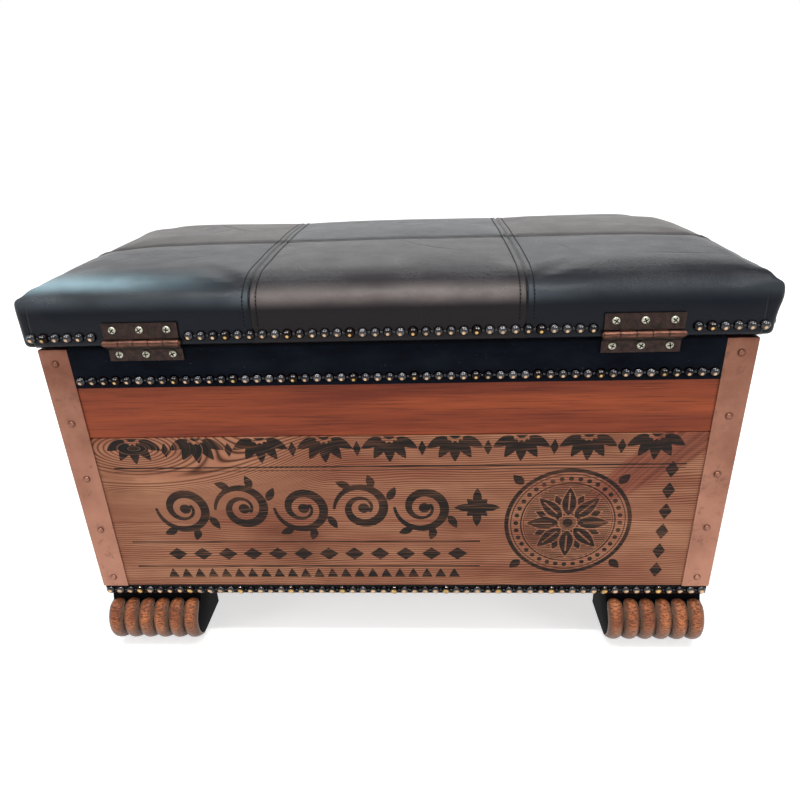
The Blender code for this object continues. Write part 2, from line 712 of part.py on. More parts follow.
def lid_pieces(lid):
    axis = (0, AXIS_Y, AXIS_Z)
    holes = bmesh.new()
    for start, end, radius in pilot_holes(1, LID_LEAF_FRONT_Y):
        rod(holes, start, end, radius, HOLE_SIDES)
    hole_mesh = to_mesh("lid_screw_cuts", holes)

    bm = bmesh.new()
    hem = [lid_ring(bm, LEATHER_HEM, LID_CORNER_LOW, LID_Z)]
    hem.append(lid_ring(bm, LEATHER_HEM, LID_CORNER_LOW, LID_Z + LEATHER))
    bridge(bm, hem[0], hem[1])
    for inward, edge in ((0, hem[0]), (LEATHER, hem[1])):
        bridge(bm, edge, lid_skin(bm, inward, lid_levels(inward)))
    cover = shaped(to_mesh("leather_cover", bm, SOFT_SHARP), [("DIFFERENCE", hole_mesh)])
    place("leather_cover", to_lid(cover), "leather", axis, parent=lid)

    inward = LEATHER + GAP
    levels = lid_levels(inward)
    board_top = LID_Z + inward + LID_BOARD_THICKNESS
    bm = bmesh.new()
    rings = [lid_ring(bm, *level) for level in levels[:3] + [side_level(levels, board_top)]]
    for ring_a, ring_b in zip(rings, rings[1:]):
        bridge(bm, ring_a, ring_b)
    bm.faces.new(rings[0])
    bm.faces.new(rings[-1])
    lid_board = shaped(to_mesh("lid_board", bm), [("DIFFERENCE", hole_mesh)])
    place("lid_board", to_lid(lid_board), "plywood", axis, parent=lid)

    bm = bmesh.new()
    foam_foot = side_level(levels, board_top + GAP)
    bm.faces.new(lid_skin(bm, inward, [foam_foot] + levels[3:]))
    place("foam_pad", to_lid(to_mesh("foam_pad", bm, SOFT_SHARP)), "foam", axis, parent=lid)

    reach = LID_HALF_LENGTH - LID_LINING_INSET
    low = (-reach, LID_FRONT_Y + LID_LINING_INSET, LID_LINING_Z)
    high = (reach, LID_BACK_Y - LID_LINING_INSET, LID_LINING_Z + LID_LINING_THICKNESS)
    bm = bmesh.new()
    block(bm, low, high)
    place("lid_lining", to_lid(to_mesh("lid_lining", bm)), "black_cloth", axis, parent=lid)


def lid_nail_strips(lid):
    z = LID_Z + LID_NAIL_RISE
    trim = LID_CORNER_LOW
    strips_round(
        "lid_nails", LID_HALF_LENGTH, LID_HALF_DEPTH, LID_MIDDLE_Y, trim, trim, z, lid,
        ("front", "left", "right"),
    )
    whole = heads_along(2 * (LID_HALF_LENGTH - trim))
    outermost = (whole - 1) / 2
    y = LID_BACK_Y + GAP
    inner_edge = HINGE_FROM_MIDDLE - HINGE_LENGTH / 2 - GAP - NAIL_RADIUS
    outer_edge = HINGE_FROM_MIDDLE + HINGE_LENGTH / 2 + GAP + NAIL_RADIUS
    inner = int(inner_edge / NAIL_PITCH)
    outer = int(outer_edge / NAIL_PITCH) + 1
    mesh = nail_strip_mesh(2 * inner + 1)
    place("lid_nails_back_middle", mesh, "nail_metal", (0, y, z), 0, lid)
    mesh = nail_strip_mesh(int(outermost) - outer + 1)
    x = (outermost + outer) / 2 * NAIL_PITCH
    place("lid_nails_back_left", mesh, "nail_metal", (-x, y, z), 0, lid)
    place("lid_nails_back_right", mesh, "nail_metal", (x, y, z), 0, lid)


def knuckle_spans(own):
    """Start and end of the knuckles of one leaf along the hinge, from its middle."""
    step = HINGE_LENGTH / KNUCKLE_COUNT
    spans = []
    for i in range(KNUCKLE_COUNT):
        if (i % 2 == 0) == own:
            start = -HINGE_LENGTH / 2 + i * step
            spans.append((start, start + step))
    return spans


def leaf_mesh(name, outline, own, side):
    """A hinge leaf with its rolled knuckles, about the hinge axis: y = z = 0."""
    half = HINGE_LENGTH / 2
    bm = bmesh.new()
    prism(bm, outline, "X", -half, half)
    plate = to_mesh(name, bm)
    reach = KNUCKLE_RADIUS + NOTCH_CLEARANCE
    notches = bmesh.new()
    for start, end in knuckle_spans(not own):
        low = start - (KNUCKLE_GAP if start > -half else OVERRUN)
        high = end + (KNUCKLE_GAP if end < half - GAP else OVERRUN)
        block(notches, (low, -reach - OVERRUN, -reach), (high, reach, reach))
    knuckles = bmesh.new()
    for start, end in knuckle_spans(own):
        rod(knuckles, (start, 0, 0), (end, 0, 0), KNUCKLE_RADIUS, KNUCKLE_SIDES)
    bore = bmesh.new()
    rod(bore, (-half - OVERRUN, 0, 0), (half + OVERRUN, 0, 0), PIN_RADIUS + GAP, PIN_SIDES)
    holes = bmesh.new()
    behind = min(y for y, z in outline) - OVERRUN
    before = max(y for y, z in outline) + OVERRUN
    for step in (-1, 0, 1):
        x = step * SCREW_PITCH
        z = side * SCREW_FROM_AXIS
        rod(holes, (x, behind, z), (x, before, z), SCREW_SHANK_RADIUS + GAP, HOLE_SIDES)
    steps = [
        ("DIFFERENCE", to_mesh("notches", notches)), ("UNION", to_mesh("knuckles", knuckles)),
        ("DIFFERENCE", to_mesh("bore", bore)), ("DIFFERENCE", to_mesh("holes", holes)),
    ]
    return shaped(plate, steps)


def screw_mesh():
    """A round-headed wood screw along Y, its head towards +Y and seated at y = 0."""
    profile = [
        (SCREW_SHANK_RADIUS * SCREW_POINT_SHARE, -SCREW_LENGTH),
        (SCREW_SHANK_RADIUS, -SCREW_LENGTH * SCREW_TAPER_SHARE),
        (SCREW_SHANK_RADIUS, 0), (SCREW_HEAD_RADIUS, 0),
    ]
    for across, up in SCREW_DOME_SHARES:
        profile.append((SCREW_HEAD_RADIUS * across, SCREW_HEAD_HEIGHT * up))
    bm = bmesh.new()
    rings = []
    for radius, y in profile:
        ring = []
        for i in range(SCREW_SIDES):
            angle = 2 * math.pi * (i + 0.5) / SCREW_SIDES
            ring.append(bm.verts.new((radius * math.cos(angle), y, radius * math.sin(angle))))
        rings.append(ring)
    for ring_a, ring_b in zip(rings, rings[1:]):
        bridge(bm, ring_a, ring_b)
    bm.faces.new(rings[0])
    bm.faces.new(rings[-1])
    return to_mesh("hinge_screw", bm, TURNED_SHARP)


def pin_mesh():
    """The hinge pin along X with a small head at each end."""
    shank = HINGE_LENGTH / 2 + GAP
    tip = shank + PIN_HEAD_LENGTH
    profile = [(-tip, PIN_HEAD_RADIUS), (-shank, PIN_HEAD_RADIUS), (-shank, PIN_RADIUS)]
    profile += [(-x, r) for x, r in reversed(profile)]
    bm = bmesh.new()
    rings = []
    for x, radius in profile:
        turns = [2 * math.pi * (i + 0.5) / PIN_SIDES for i in range(PIN_SIDES)]
        rings.append([bm.verts.new((x, radius * math.cos(t), radius * math.sin(t))) for t in turns])
    for ring_a, ring_b in zip(rings, rings[1:]):
        bridge(bm, ring_a, ring_b)
    bm.faces.new(rings[0])
    bm.faces.new(rings[-1])
    return to_mesh("hinge_pin", bm, TURNED_SHARP)


def hinges(lid):
    near = LEAF_BACK_Y - AXIS_Y
    far = near + LEAF_THICKNESS
    low_near = BOX_LEAF_BACK_Y - AXIS_Y
    low_far = low_near + LEAF_THICKNESS
    upper_outline = [(near, 0), (far, 0), (far, LEAF_WIDTH), (near, LEAF_WIDTH)]
    slope = (near - low_near) / (CRANK_FOOT_DROP - CRANK_TOP_DROP)
    shift = LEAF_THICKNESS * (math.sqrt(1 + slope * slope) - 1) / slope
    lower_outline = [
        (near, 0), (near, -CRANK_TOP_DROP), (low_near, -CRANK_FOOT_DROP), (low_near, -LEAF_WIDTH),
        (low_far, -LEAF_WIDTH), (low_far, -CRANK_FOOT_DROP - shift), (far, -CRANK_TOP_DROP - shift),
        (far, 0),
    ]
    upper = leaf_mesh("upper_leaf", upper_outline, False, 1)
    lower = leaf_mesh("lower_leaf", lower_outline, True, -1)
    pin = pin_mesh()
    screw = screw_mesh()
    seats = {1: LID_LEAF_FRONT_Y + GAP, -1: BOX_LEAF_FRONT_Y + GAP}
    names = {1: "lid_screw", -1: "box_screw"}
    for hinge, sx in (("left", -1), ("right", 1)):
        x = sx * HINGE_FROM_MIDDLE
        place(f"hinge_{hinge}_lid_leaf", upper, "hinge_bronze", (x, AXIS_Y, AXIS_Z), 0, lid)
        place(f"hinge_{hinge}_box_leaf", lower, "hinge_bronze", (x, AXIS_Y, AXIS_Z))
        place(f"hinge_{hinge}_pin", pin, "hinge_bronze", (x, AXIS_Y, AXIS_Z))
        for side in (1, -1):
            for n in (-1, 0, 1):
                place(
                    f"hinge_{hinge}_{names[side]}_{n + 2}", screw, "screw_zinc",
                    (x + n * SCREW_PITCH, seats[side], AXIS_Z + side * SCREW_FROM_AXIS), 0,
                    lid if side == 1 else None,
                )


def main():
    clear_scene()
    lid = bpy.data.objects.new("lid_axis", None)
    bpy.context.scene.collection.objects.link(lid)
    lid.location = (0, AXIS_Y, AXIS_Z)
    feet()
    box_boards()
    box_lining()
    corner_straps()
    box_nail_strips()
    lid_pieces(lid)
    lid_nail_strips(lid)
    hinges(lid)


main()
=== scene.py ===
import math
import random

import bmesh
import bpy
import numpy as np
from mathutils import Matrix, Vector, noise
from mathutils.bvhtree import BVHTree
from mathutils.kdtree import KDTree


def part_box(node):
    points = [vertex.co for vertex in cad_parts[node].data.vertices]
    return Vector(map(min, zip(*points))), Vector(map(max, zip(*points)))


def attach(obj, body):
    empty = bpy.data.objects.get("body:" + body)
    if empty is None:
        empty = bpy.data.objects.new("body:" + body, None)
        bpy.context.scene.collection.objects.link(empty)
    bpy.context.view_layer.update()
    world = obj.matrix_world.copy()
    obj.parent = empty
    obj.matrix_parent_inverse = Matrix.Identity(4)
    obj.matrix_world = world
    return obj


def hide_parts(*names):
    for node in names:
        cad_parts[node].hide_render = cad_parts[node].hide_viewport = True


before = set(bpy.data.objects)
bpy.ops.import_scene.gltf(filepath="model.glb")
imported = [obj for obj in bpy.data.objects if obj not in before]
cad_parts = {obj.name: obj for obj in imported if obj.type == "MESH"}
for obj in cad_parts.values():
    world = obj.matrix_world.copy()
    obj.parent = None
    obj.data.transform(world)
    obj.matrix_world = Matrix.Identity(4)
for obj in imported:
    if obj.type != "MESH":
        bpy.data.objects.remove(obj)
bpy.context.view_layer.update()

random.seed(7)


def srgb(r, g, b):
    values = [c / 255 for c in (r, g, b)]
    return [c / 12.92 if c <= 0.04045 else ((c + 0.055) / 1.055) ** 2.4 for c in values] + [1.0]


def objectMode():
    if bpy.context.object and bpy.context.object.mode != "OBJECT":
        bpy.ops.object.mode_set(mode="OBJECT")


def clearSelection():
    objectMode()
    bpy.ops.object.select_all(action="DESELECT")


def only(ob):
    clearSelection()
    ob.select_set(True)
    bpy.context.view_layer.objects.active = ob


def editAll():
    bpy.ops.object.mode_set(mode="EDIT")
    bpy.ops.mesh.select_all(action="SELECT")


def applyPlace():
    bpy.ops.object.transform_apply(location=True, rotation=True, scale=True)


def startCube(name, low, high):
    clearSelection()
    low, high = Vector(low), Vector(high)
    bpy.ops.mesh.primitive_cube_add(size=1, location=(low + high) / 2)
    ob = bpy.context.object
    ob.name = name
    ob.scale = high - low
    applyPlace()
    return ob


def pick(ob, kind, test):
    # edit mode with just the edges or faces that pass the test selected
    if ob.mode != "EDIT":
        only(ob)
        bpy.ops.object.mode_set(mode="EDIT")
    bpy.ops.mesh.select_mode(type=kind)
    bpy.ops.mesh.select_all(action="DESELECT")
    bm = bmesh.from_edit_mesh(ob.data)
    for part in (bm.edges if kind == "EDGE" else bm.faces):
        if test(part):
            part.select_set(True)
    bmesh.update_edit_mesh(ob.data)


def sharp(edge):
    return edge.is_manifold and edge.calc_face_angle(0) > 1


def anyEdge(edge):
    return True


def bevelEdges(ob, test, width, segments):
    pick(ob, "EDGE", test)
    bpy.ops.mesh.bevel(offset=width, segments=segments, affect="EDGES")


def dropFaces(ob, test):
    pick(ob, "FACE", test)
    bpy.ops.mesh.delete(type="FACE")


def sliceAt(ob, axis, places):
    # straight grid lines through the whole piece; nothing is removed
    only(ob)
    bpy.ops.object.mode_set(mode="EDIT")
    normal = [1.0 if i == axis else 0.0 for i in range(3)]
    for p in places:
        bpy.ops.mesh.select_all(action="SELECT")
        bpy.ops.mesh.bisect(plane_co=[p * n for n in normal], plane_no=normal)
    objectMode()


def applyModifier(ob, kind, **settings):
    only(ob)
    modifier = ob.modifiers.new(kind.lower(), kind)
    for key, value in settings.items():
        setattr(modifier, key, value)
    bpy.ops.object.modifier_apply(modifier=modifier.name)


def tidyNormals(ob):
    only(ob)
    editAll()
    bpy.ops.mesh.remove_doubles(threshold=0.00001)
    bpy.ops.mesh.normals_make_consistent(inside=False)
    objectMode()


def smoothShade(ob, degrees=40):
    only(ob)
    bpy.ops.object.shade_smooth_by_angle(angle=math.radians(degrees))


def copyAt(master, matrix):
    ob = master.copy()
    ob.data = master.data.copy()
    ob.data.transform(matrix)
    bpy.context.scene.collection.objects.link(ob)
    return ob


def joinAll(pieces, name):
    clearSelection()
    for ob in pieces:
        ob.select_set(True)
    bpy.context.view_layer.objects.active = pieces[0]
    if len(pieces) > 1:
        bpy.ops.object.join()
    ob = bpy.context.object
    ob.name = name
    ob.data.name = name
    return ob


def drop(ob):
    bpy.data.objects.remove(ob, do_unlink=True)


def finishPiece(ob, material, body, nodes=()):
    objectMode()
    ob.data.materials.clear()
    ob.data.materials.append(material)
    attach(ob, body)
    if nodes:
        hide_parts(*nodes)


def steps(low, high, size):
    count = max(1, round((high - low) / size))
    return [low + (high - low) * i / count for i in range(1, count)]


def clamped(value):
    return min(1.0, max(0.0, value))


def between(value, low, high):
    # smooth step from 0 at low to 1 at high
    t = clamped((value - low) / (high - low))
    return t * t * (3 - 2 * t)


def waver(x, y, z):
    return noise.noise(Vector((x, y, z)))


class Finish:
    # wires one material; sockets take a number, a colour as 0 to 255 or another node's output
    def __init__(self, name):
        self.material = bpy.data.materials.new(name)
        self.material.use_nodes = True
        self.tree = self.material.node_tree
        self.shader = self.tree.nodes["Principled BSDF"]

    def feed(self, socket, value):
        if isinstance(value, bpy.types.NodeSocket):
            self.tree.links.new(value, socket)
        elif socket.type == "RGBA" and len(value) == 3:
            socket.default_value = srgb(*value)
        else:
            socket.default_value = value

    def add(self, kind, inputs, **settings):
        node = self.tree.nodes.new("ShaderNode" + kind)
        for key, value in settings.items():
            setattr(node, key, value)
        for key, value in inputs.items():
            self.feed(node.inputs[key], value)
        return node

    def coords(self, scale=(1, 1, 1), move=(0, 0, 0), turn=(0, 0, 0)):
        spot = self.add("TexCoord", {}).outputs["Object"]
        settings = {"Vector": spot, "Scale": scale, "Location": move, "Rotation": turn}
        return self.add("Mapping", settings).outputs[0]

    def parts(self, vector):
        return self.add("SeparateXYZ", {"Vector": vector}).outputs

    def noise(self, vector, size, detail=4.0, rough=0.55, twist=0.0):
        settings = {"Vector": vector, "Scale": size, "Detail": detail, "Roughness": rough, "Distortion": twist}
        return self.add("TexNoise", settings).outputs["Fac"]

    def streaks(self, x, y, z, detail):
        # noise drawn out along the axes that are scaled least
        return self.noise(self.add("CombineXYZ", {"X": x, "Y": y, "Z": z}).outputs[0], 1.0, detail)

    def math(self, kind, a, b=0.0, clamp=False):
        return self.add("Math", {0: a, 1: b}, operation=kind, use_clamp=clamp).outputs[0]

    def chain(self, kind, values):
        total = values[0]
        for value in values[1:]:
            total = self.math(kind, total, value)
        return total

    def times(self, *values):
        return self.chain("MULTIPLY", values)

    def plus(self, *values):
        return self.chain("ADD", values)

    def minus(self, *values):
        return self.chain("SUBTRACT", values)

    def most(self, *values):
        return self.chain("MAXIMUM", values)

    def least(self, *values):
        return self.chain("MINIMUM", values)

    def abs(self, value):
        return self.math("ABSOLUTE", value)

    def apart(self, a, b):
        return self.abs(self.minus(a, b))

    def hypot(self, a, b):
        return self.math("SQRT", self.plus(self.times(a, a), self.times(b, b)))

    def span(self, value, low, high, outLow=0.0, outHigh=1.0, kind="LINEAR"):
        settings = {"Value": value, "From Min": low, "From Max": high, "To Min": outLow, "To Max": outHigh}
        return self.add("MapRange", settings, interpolation_type=kind).outputs[0]

    def soft(self, value, low, high, outLow=0.0, outHigh=1.0):
        return self.span(value, low, high, outLow, outHigh, "SMOOTHSTEP")

    def mix(self, share, a, b, kind="MIX"):
        return self.add("Mix", {0: share, 6: a, 7: b}, data_type="RGBA", blend_type=kind).outputs[2]

    def cells(self, vector, size):
        inputs = {"Vector": vector, "Scale": size}
        return self.add("TexVoronoi", inputs, feature="DISTANCE_TO_EDGE").outputs["Distance"]

    def bump(self, height, strength, distance, under=None):
        inputs = {"Height": height, "Strength": strength, "Distance": distance}
        if under:
            inputs["Normal"] = under
        return self.add("Bump", inputs).outputs[0]

    def attribute(self, name):
        return self.add("Attribute", {}, attribute_name=name).outputs["Fac"]

    def done(self, sockets):
        for key, value in sockets.items():
            self.feed(self.shader.inputs[key], value)
        return self.material


def setAttribute(ob, name, values):
    layer = ob.data.attributes.get(name) or ob.data.attributes.new(name, "FLOAT", "POINT")
    layer.data.foreach_set("value", np.asarray(values, np.float32))


def points(ob):
    flat = np.zeros(len(ob.data.vertices) * 3)
    ob.data.vertices.foreach_get("co", flat)
    return flat.reshape(-1, 3)


def movePoints(ob, places):
    ob.data.vertices.foreach_set("co", np.asarray(places, float).ravel())
    ob.data.update()


# crate pine: fine dark grain lines, a knot, a stained patch, and on the back board worn printing ink
pine = {
    "light": (186, 132, 102), "mid": (150, 95, 73), "line": (68, 37, 28), "stain": (118, 66, 51),
    "red": (132, 70, 52), "ink": (31, 28, 26), "lineGap": 0.0026, "sway": 0.030,
    "knot": (0.275, 0.265), "knotReach": 0.085,
    # a dark smear that slants over the board, and a split along one height
    "slant": (0.73, 0.683), "smear": ((96, 50, 42), (142, 82, 64)), "smearLow": 0.2033,
    "split": (112, 48, 36), "splitAt": 0.1745,
}
rosette = {"spot": (-0.186, 0.168), "rings": ((66, 2.2), (61.2, 0.5), (50.4, 0.8), (47.6, 0.35)),
           "hatchGap": 2.6, "hatchBare": 0.52}
rules = {"long": ((0.2408, 0.9), (0.2365, 0.4)), "short": ((0.1440, 0.8), (0.1100, 0.8)),
         "end": 0.302, "shortFrom": -0.092}


def crateWood(name, along, inked=False, shift=0.0, knot=None):
    f = Finish(name)
    x, y, z = f.parts(f.coords(move=(shift, shift, 0)))
    run = x if along == "X" else y
    sway = f.streaks(f.times(run, 2.4), shift, f.times(z, 11), 3.0)
    height = f.plus(z, f.times(sway, pine["sway"]))
    if knot:
        far = f.hypot(f.times(f.minus(run, knot[0] + shift), 0.42), f.minus(z, knot[1]))
        near = f.soft(far, pine["knotReach"] * 0.25, pine["knotReach"] * 1.15, 1.0, 0.0)
        height = f.plus(height, f.times(f.minus(f.plus(far, knot[1]), height), near))
    wave = f.math("SINE", f.times(height, 2 * math.pi / pine["lineGap"]))
    lines = f.math("POWER", f.span(wave, -1, 1), 2.3)
    fine = f.streaks(f.times(run, 9), shift, f.times(height, 620), 3.0)
    hair = f.streaks(f.times(run, 16), shift + 3, f.times(height, 1500), 2.0)
    blotch = f.streaks(f.times(run, 5), shift, f.times(z, 26), 4.0)
    reddish = f.streaks(f.times(run, 3.2), shift + 8, f.times(z, 19), 4.0)
    base = f.mix(f.span(blotch, 0.34, 0.66), pine["mid"], pine["light"])
    base = f.mix(f.span(reddish, 0.50, 0.72, 0.0, 0.7), base, pine["red"])
    share = f.math("MULTIPLY", lines, f.span(fine, 0.25, 0.65, 0.5, 1.0), clamp=True)
    share = f.most(share, f.span(hair, 0.60, 0.74, 0.0, 0.55))
    colour = f.mix(share, base, pine["line"])
    cloud = f.noise(f.coords(scale=(1, 1, 1.6), move=(shift, 0, 0)), 7, 3.0)
    colour = f.mix(f.span(cloud, 0.52, 0.74, 0.0, 0.45), colour, pine["stain"], "MULTIPLY")
    if inked:
        colour = smearAndSplit(f, colour, x, z, sway)
        # the ink is ragged at its edges and worn off the grain
        ragged = f.plus(f.least(f.attribute("ink"), thinInk(f, x, z)), f.times(f.minus(fine, 0.5), 0.5))
        solid = f.span(ragged, -0.12, 0.12, 1.0, 0.0)
        worn = f.times(f.span(hair, 0.54, 0.66, 1.0, 0.40), f.span(cloud, 0.30, 0.44, 0.84, 1.0),
                       f.span(fine, 0.26, 0.42, 0.60, 1.0))
        colour = f.mix(f.times(solid, worn), colour, pine["ink"])
    relief = f.plus(f.times(lines, -0.7), f.times(fine, 0.4))
    return f.done({
        "Base Color": colour, "Roughness": f.span(lines, 0, 1, 0.52, 0.70),
        "Normal": f.bump(relief, 0.45, 0.0004), "Specular IOR Level": 0.1,
    })


def smearAndSplit(f, colour, x, z, sway):
    # both follow the waver of the grain
    slant = f.plus(f.times(x, pine["slant"][0]), f.times(z, pine["slant"][1]), f.times(f.minus(sway, 0.5), 0.006))
    under = f.plus(slant, f.times(f.minus(z, pine["smearLow"]), 0.44))
    patch = f.times(f.span(slant, -0.0070, -0.0095), f.soft(under, -0.046, -0.032), f.soft(z, 0.178, 0.206))
    streak = f.streaks(f.times(slant, 260), f.times(x, 12), 0, 3.0)
    smear = f.mix(f.span(streak, 0.35, 0.65), *pine["smear"])
    colour = f.mix(f.times(patch, 0.78), colour, smear)
    split = f.span(f.apart(f.plus(z, f.times(sway, 0.006)), pine["splitAt"]), 0.0003, 0.0012, 1.0, 0.0)
    return f.mix(f.times(split, 0.55), colour, pine["split"])


def thinInk(f, x, z):
    # hairlines too fine for the board's mesh: rings, rules and the hatching round the petals, in millimetres
    offX = f.times(f.minus(x, rosette["spot"][0]), 1000)
    offZ = f.times(f.minus(z, rosette["spot"][1]), 1000)
    far = f.hypot(offX, offZ)
    sag = f.math("MODULO", f.plus(offZ, 100 * rosette["hatchGap"]), rosette["hatchGap"])
    hatch = f.minus(f.apart(sag, rosette["hatchGap"] / 2), rosette["hatchBare"])
    best = f.most(f.attribute("hatch"), hatch)
    for radius, half in rosette["rings"]:
        best = f.least(best, f.minus(f.apart(far, radius), half))
    past = f.times(f.minus(f.abs(x), rules["end"]), 1000)
    leftOnly = f.most(past, f.times(f.minus(rules["shortFrom"], x), 1000))
    for key, limit in (("long", past), ("short", leftOnly)):
        for height, half in rules[key]:
            best = f.least(best, f.most(f.minus(f.times(f.apart(z, height), 1000), half), limit))
    return best


# varnished rail: long red-brown streaks under a thin gloss
rail = {"dark": (110, 44, 25), "light": (154, 74, 42), "pore": (70, 28, 18)}


def railWood(name, along, shift=0.0):
    f = Finish(name)
    scale = (4, 60, 60) if along == "X" else (60, 4, 60)
    streak = f.noise(f.coords(scale=scale, move=(shift, shift, shift)), 1.0, 5.0, 0.6, 0.3)
    fineScale = (14, 300, 900) if along == "X" else (300, 14, 900)
    fine = f.noise(f.coords(scale=fineScale, move=(shift, 0, 0)), 1.0, 3.0)
    colour = f.mix(f.span(streak, 0.32, 0.68), rail["dark"], rail["light"])
    colour = f.mix(f.span(fine, 0.53, 0.68, 0.0, 0.7), colour, rail["pore"])
    return f.done({
        "Base Color": colour, "Roughness": f.span(streak, 0.3, 0.7, 0.34, 0.46),
        "Specular IOR Level": 0.15, "Coat Weight": 0.08, "Coat Roughness": 0.25, "Normal": f.bump(fine, 0.22, 0.0002),
    })


def baseWood():
    # black upper edge behind the nails, bare brown wood under it
    f = Finish("base_wood")
    z = f.parts(f.coords())[2]
    grain = f.noise(f.coords(scale=(6, 40, 160)), 1.0, 4.0)
    brown = f.mix(f.span(grain, 0.3, 0.7), (64, 36, 24), (112, 66, 42))
    colour = f.mix(f.span(z, 0.0712, 0.0716), brown, (12, 12, 14))
    return f.done({
        "Base Color": colour, "Roughness": 0.6, "Specular IOR Level": 0.12, "Normal": f.bump(grain, 0.3, 0.0004),
    })


# leather: six hides in a checker, pebble grain, creases, a soft cool sheen, a painted sheen band along the edge and
# painted shade in the folds and seams
hides = {
    "navy": (8, 13, 22), "brown": (25, 20, 23), "farBrown": (60, 53, 49), "farBlue": (43, 49, 51),
    "scuff": (66, 66, 69), "paintedSheen": (128, 119, 117), "paintedCoolSheen": (98, 107, 113), "paintedBlueSheen": (140, 166, 176),
    "seamShade": (12, 12, 15), "pebble": 620.0, "roughness": (0.27, 0.36), "gloss": 0.15, "dust": 0.02,
    # folds pressed into the hides: start, end, half width in metres seen from above, and how dark their painted shade
    # is
    "folds": (((0.252, -0.068), (0.236, -0.116), 0.0040, 1.0), ((0.236, -0.116), (0.206, -0.088), 0.0034, 1.0),
              ((0.253, -0.135), (0.166, -0.048), 0.0036, 1.0), ((0.237, -0.045), (0.195, -0.102), 0.0026, 0.8),
              ((0.000, 0.018), (-0.077, 0.101), 0.0024, 0.6), ((0.021, -0.008), (-0.030, 0.050), 0.0020, 0.3),
              ((0.229, 0.095), (0.191, 0.080), 0.0020, 0.3), ((-0.178, 0.059), (-0.183, 0.114), 0.0020, 0.3),
              ((-0.249, 0.103), (-0.331, 0.113), 0.0022, 0.4), ((-0.200, -0.090), (-0.300, -0.050), 0.0026, 0.5),
              ((0.070, -0.130), (-0.040, -0.080), 0.0024, 0.5)),
}


def foldAt(f, x, y, start, end, half):
    # 1 on the line from start to end, fading to 0 at half and towards both ends
    dx, dy = end[0] - start[0], end[1] - start[1]
    long = math.hypot(dx, dy)
    offX, offY = f.minus(x, start[0]), f.minus(y, start[1])
    along = f.plus(f.times(offX, dx / long ** 2), f.times(offY, dy / long ** 2))
    across = f.minus(f.times(offX, dy / long), f.times(offY, dx / long))
    return f.times(f.soft(f.abs(across), 0.0, half * 1.9, 1.0, 0.0),
                   f.times(f.soft(along, 0.0, 0.40), f.soft(along, 1.0, 0.55)))


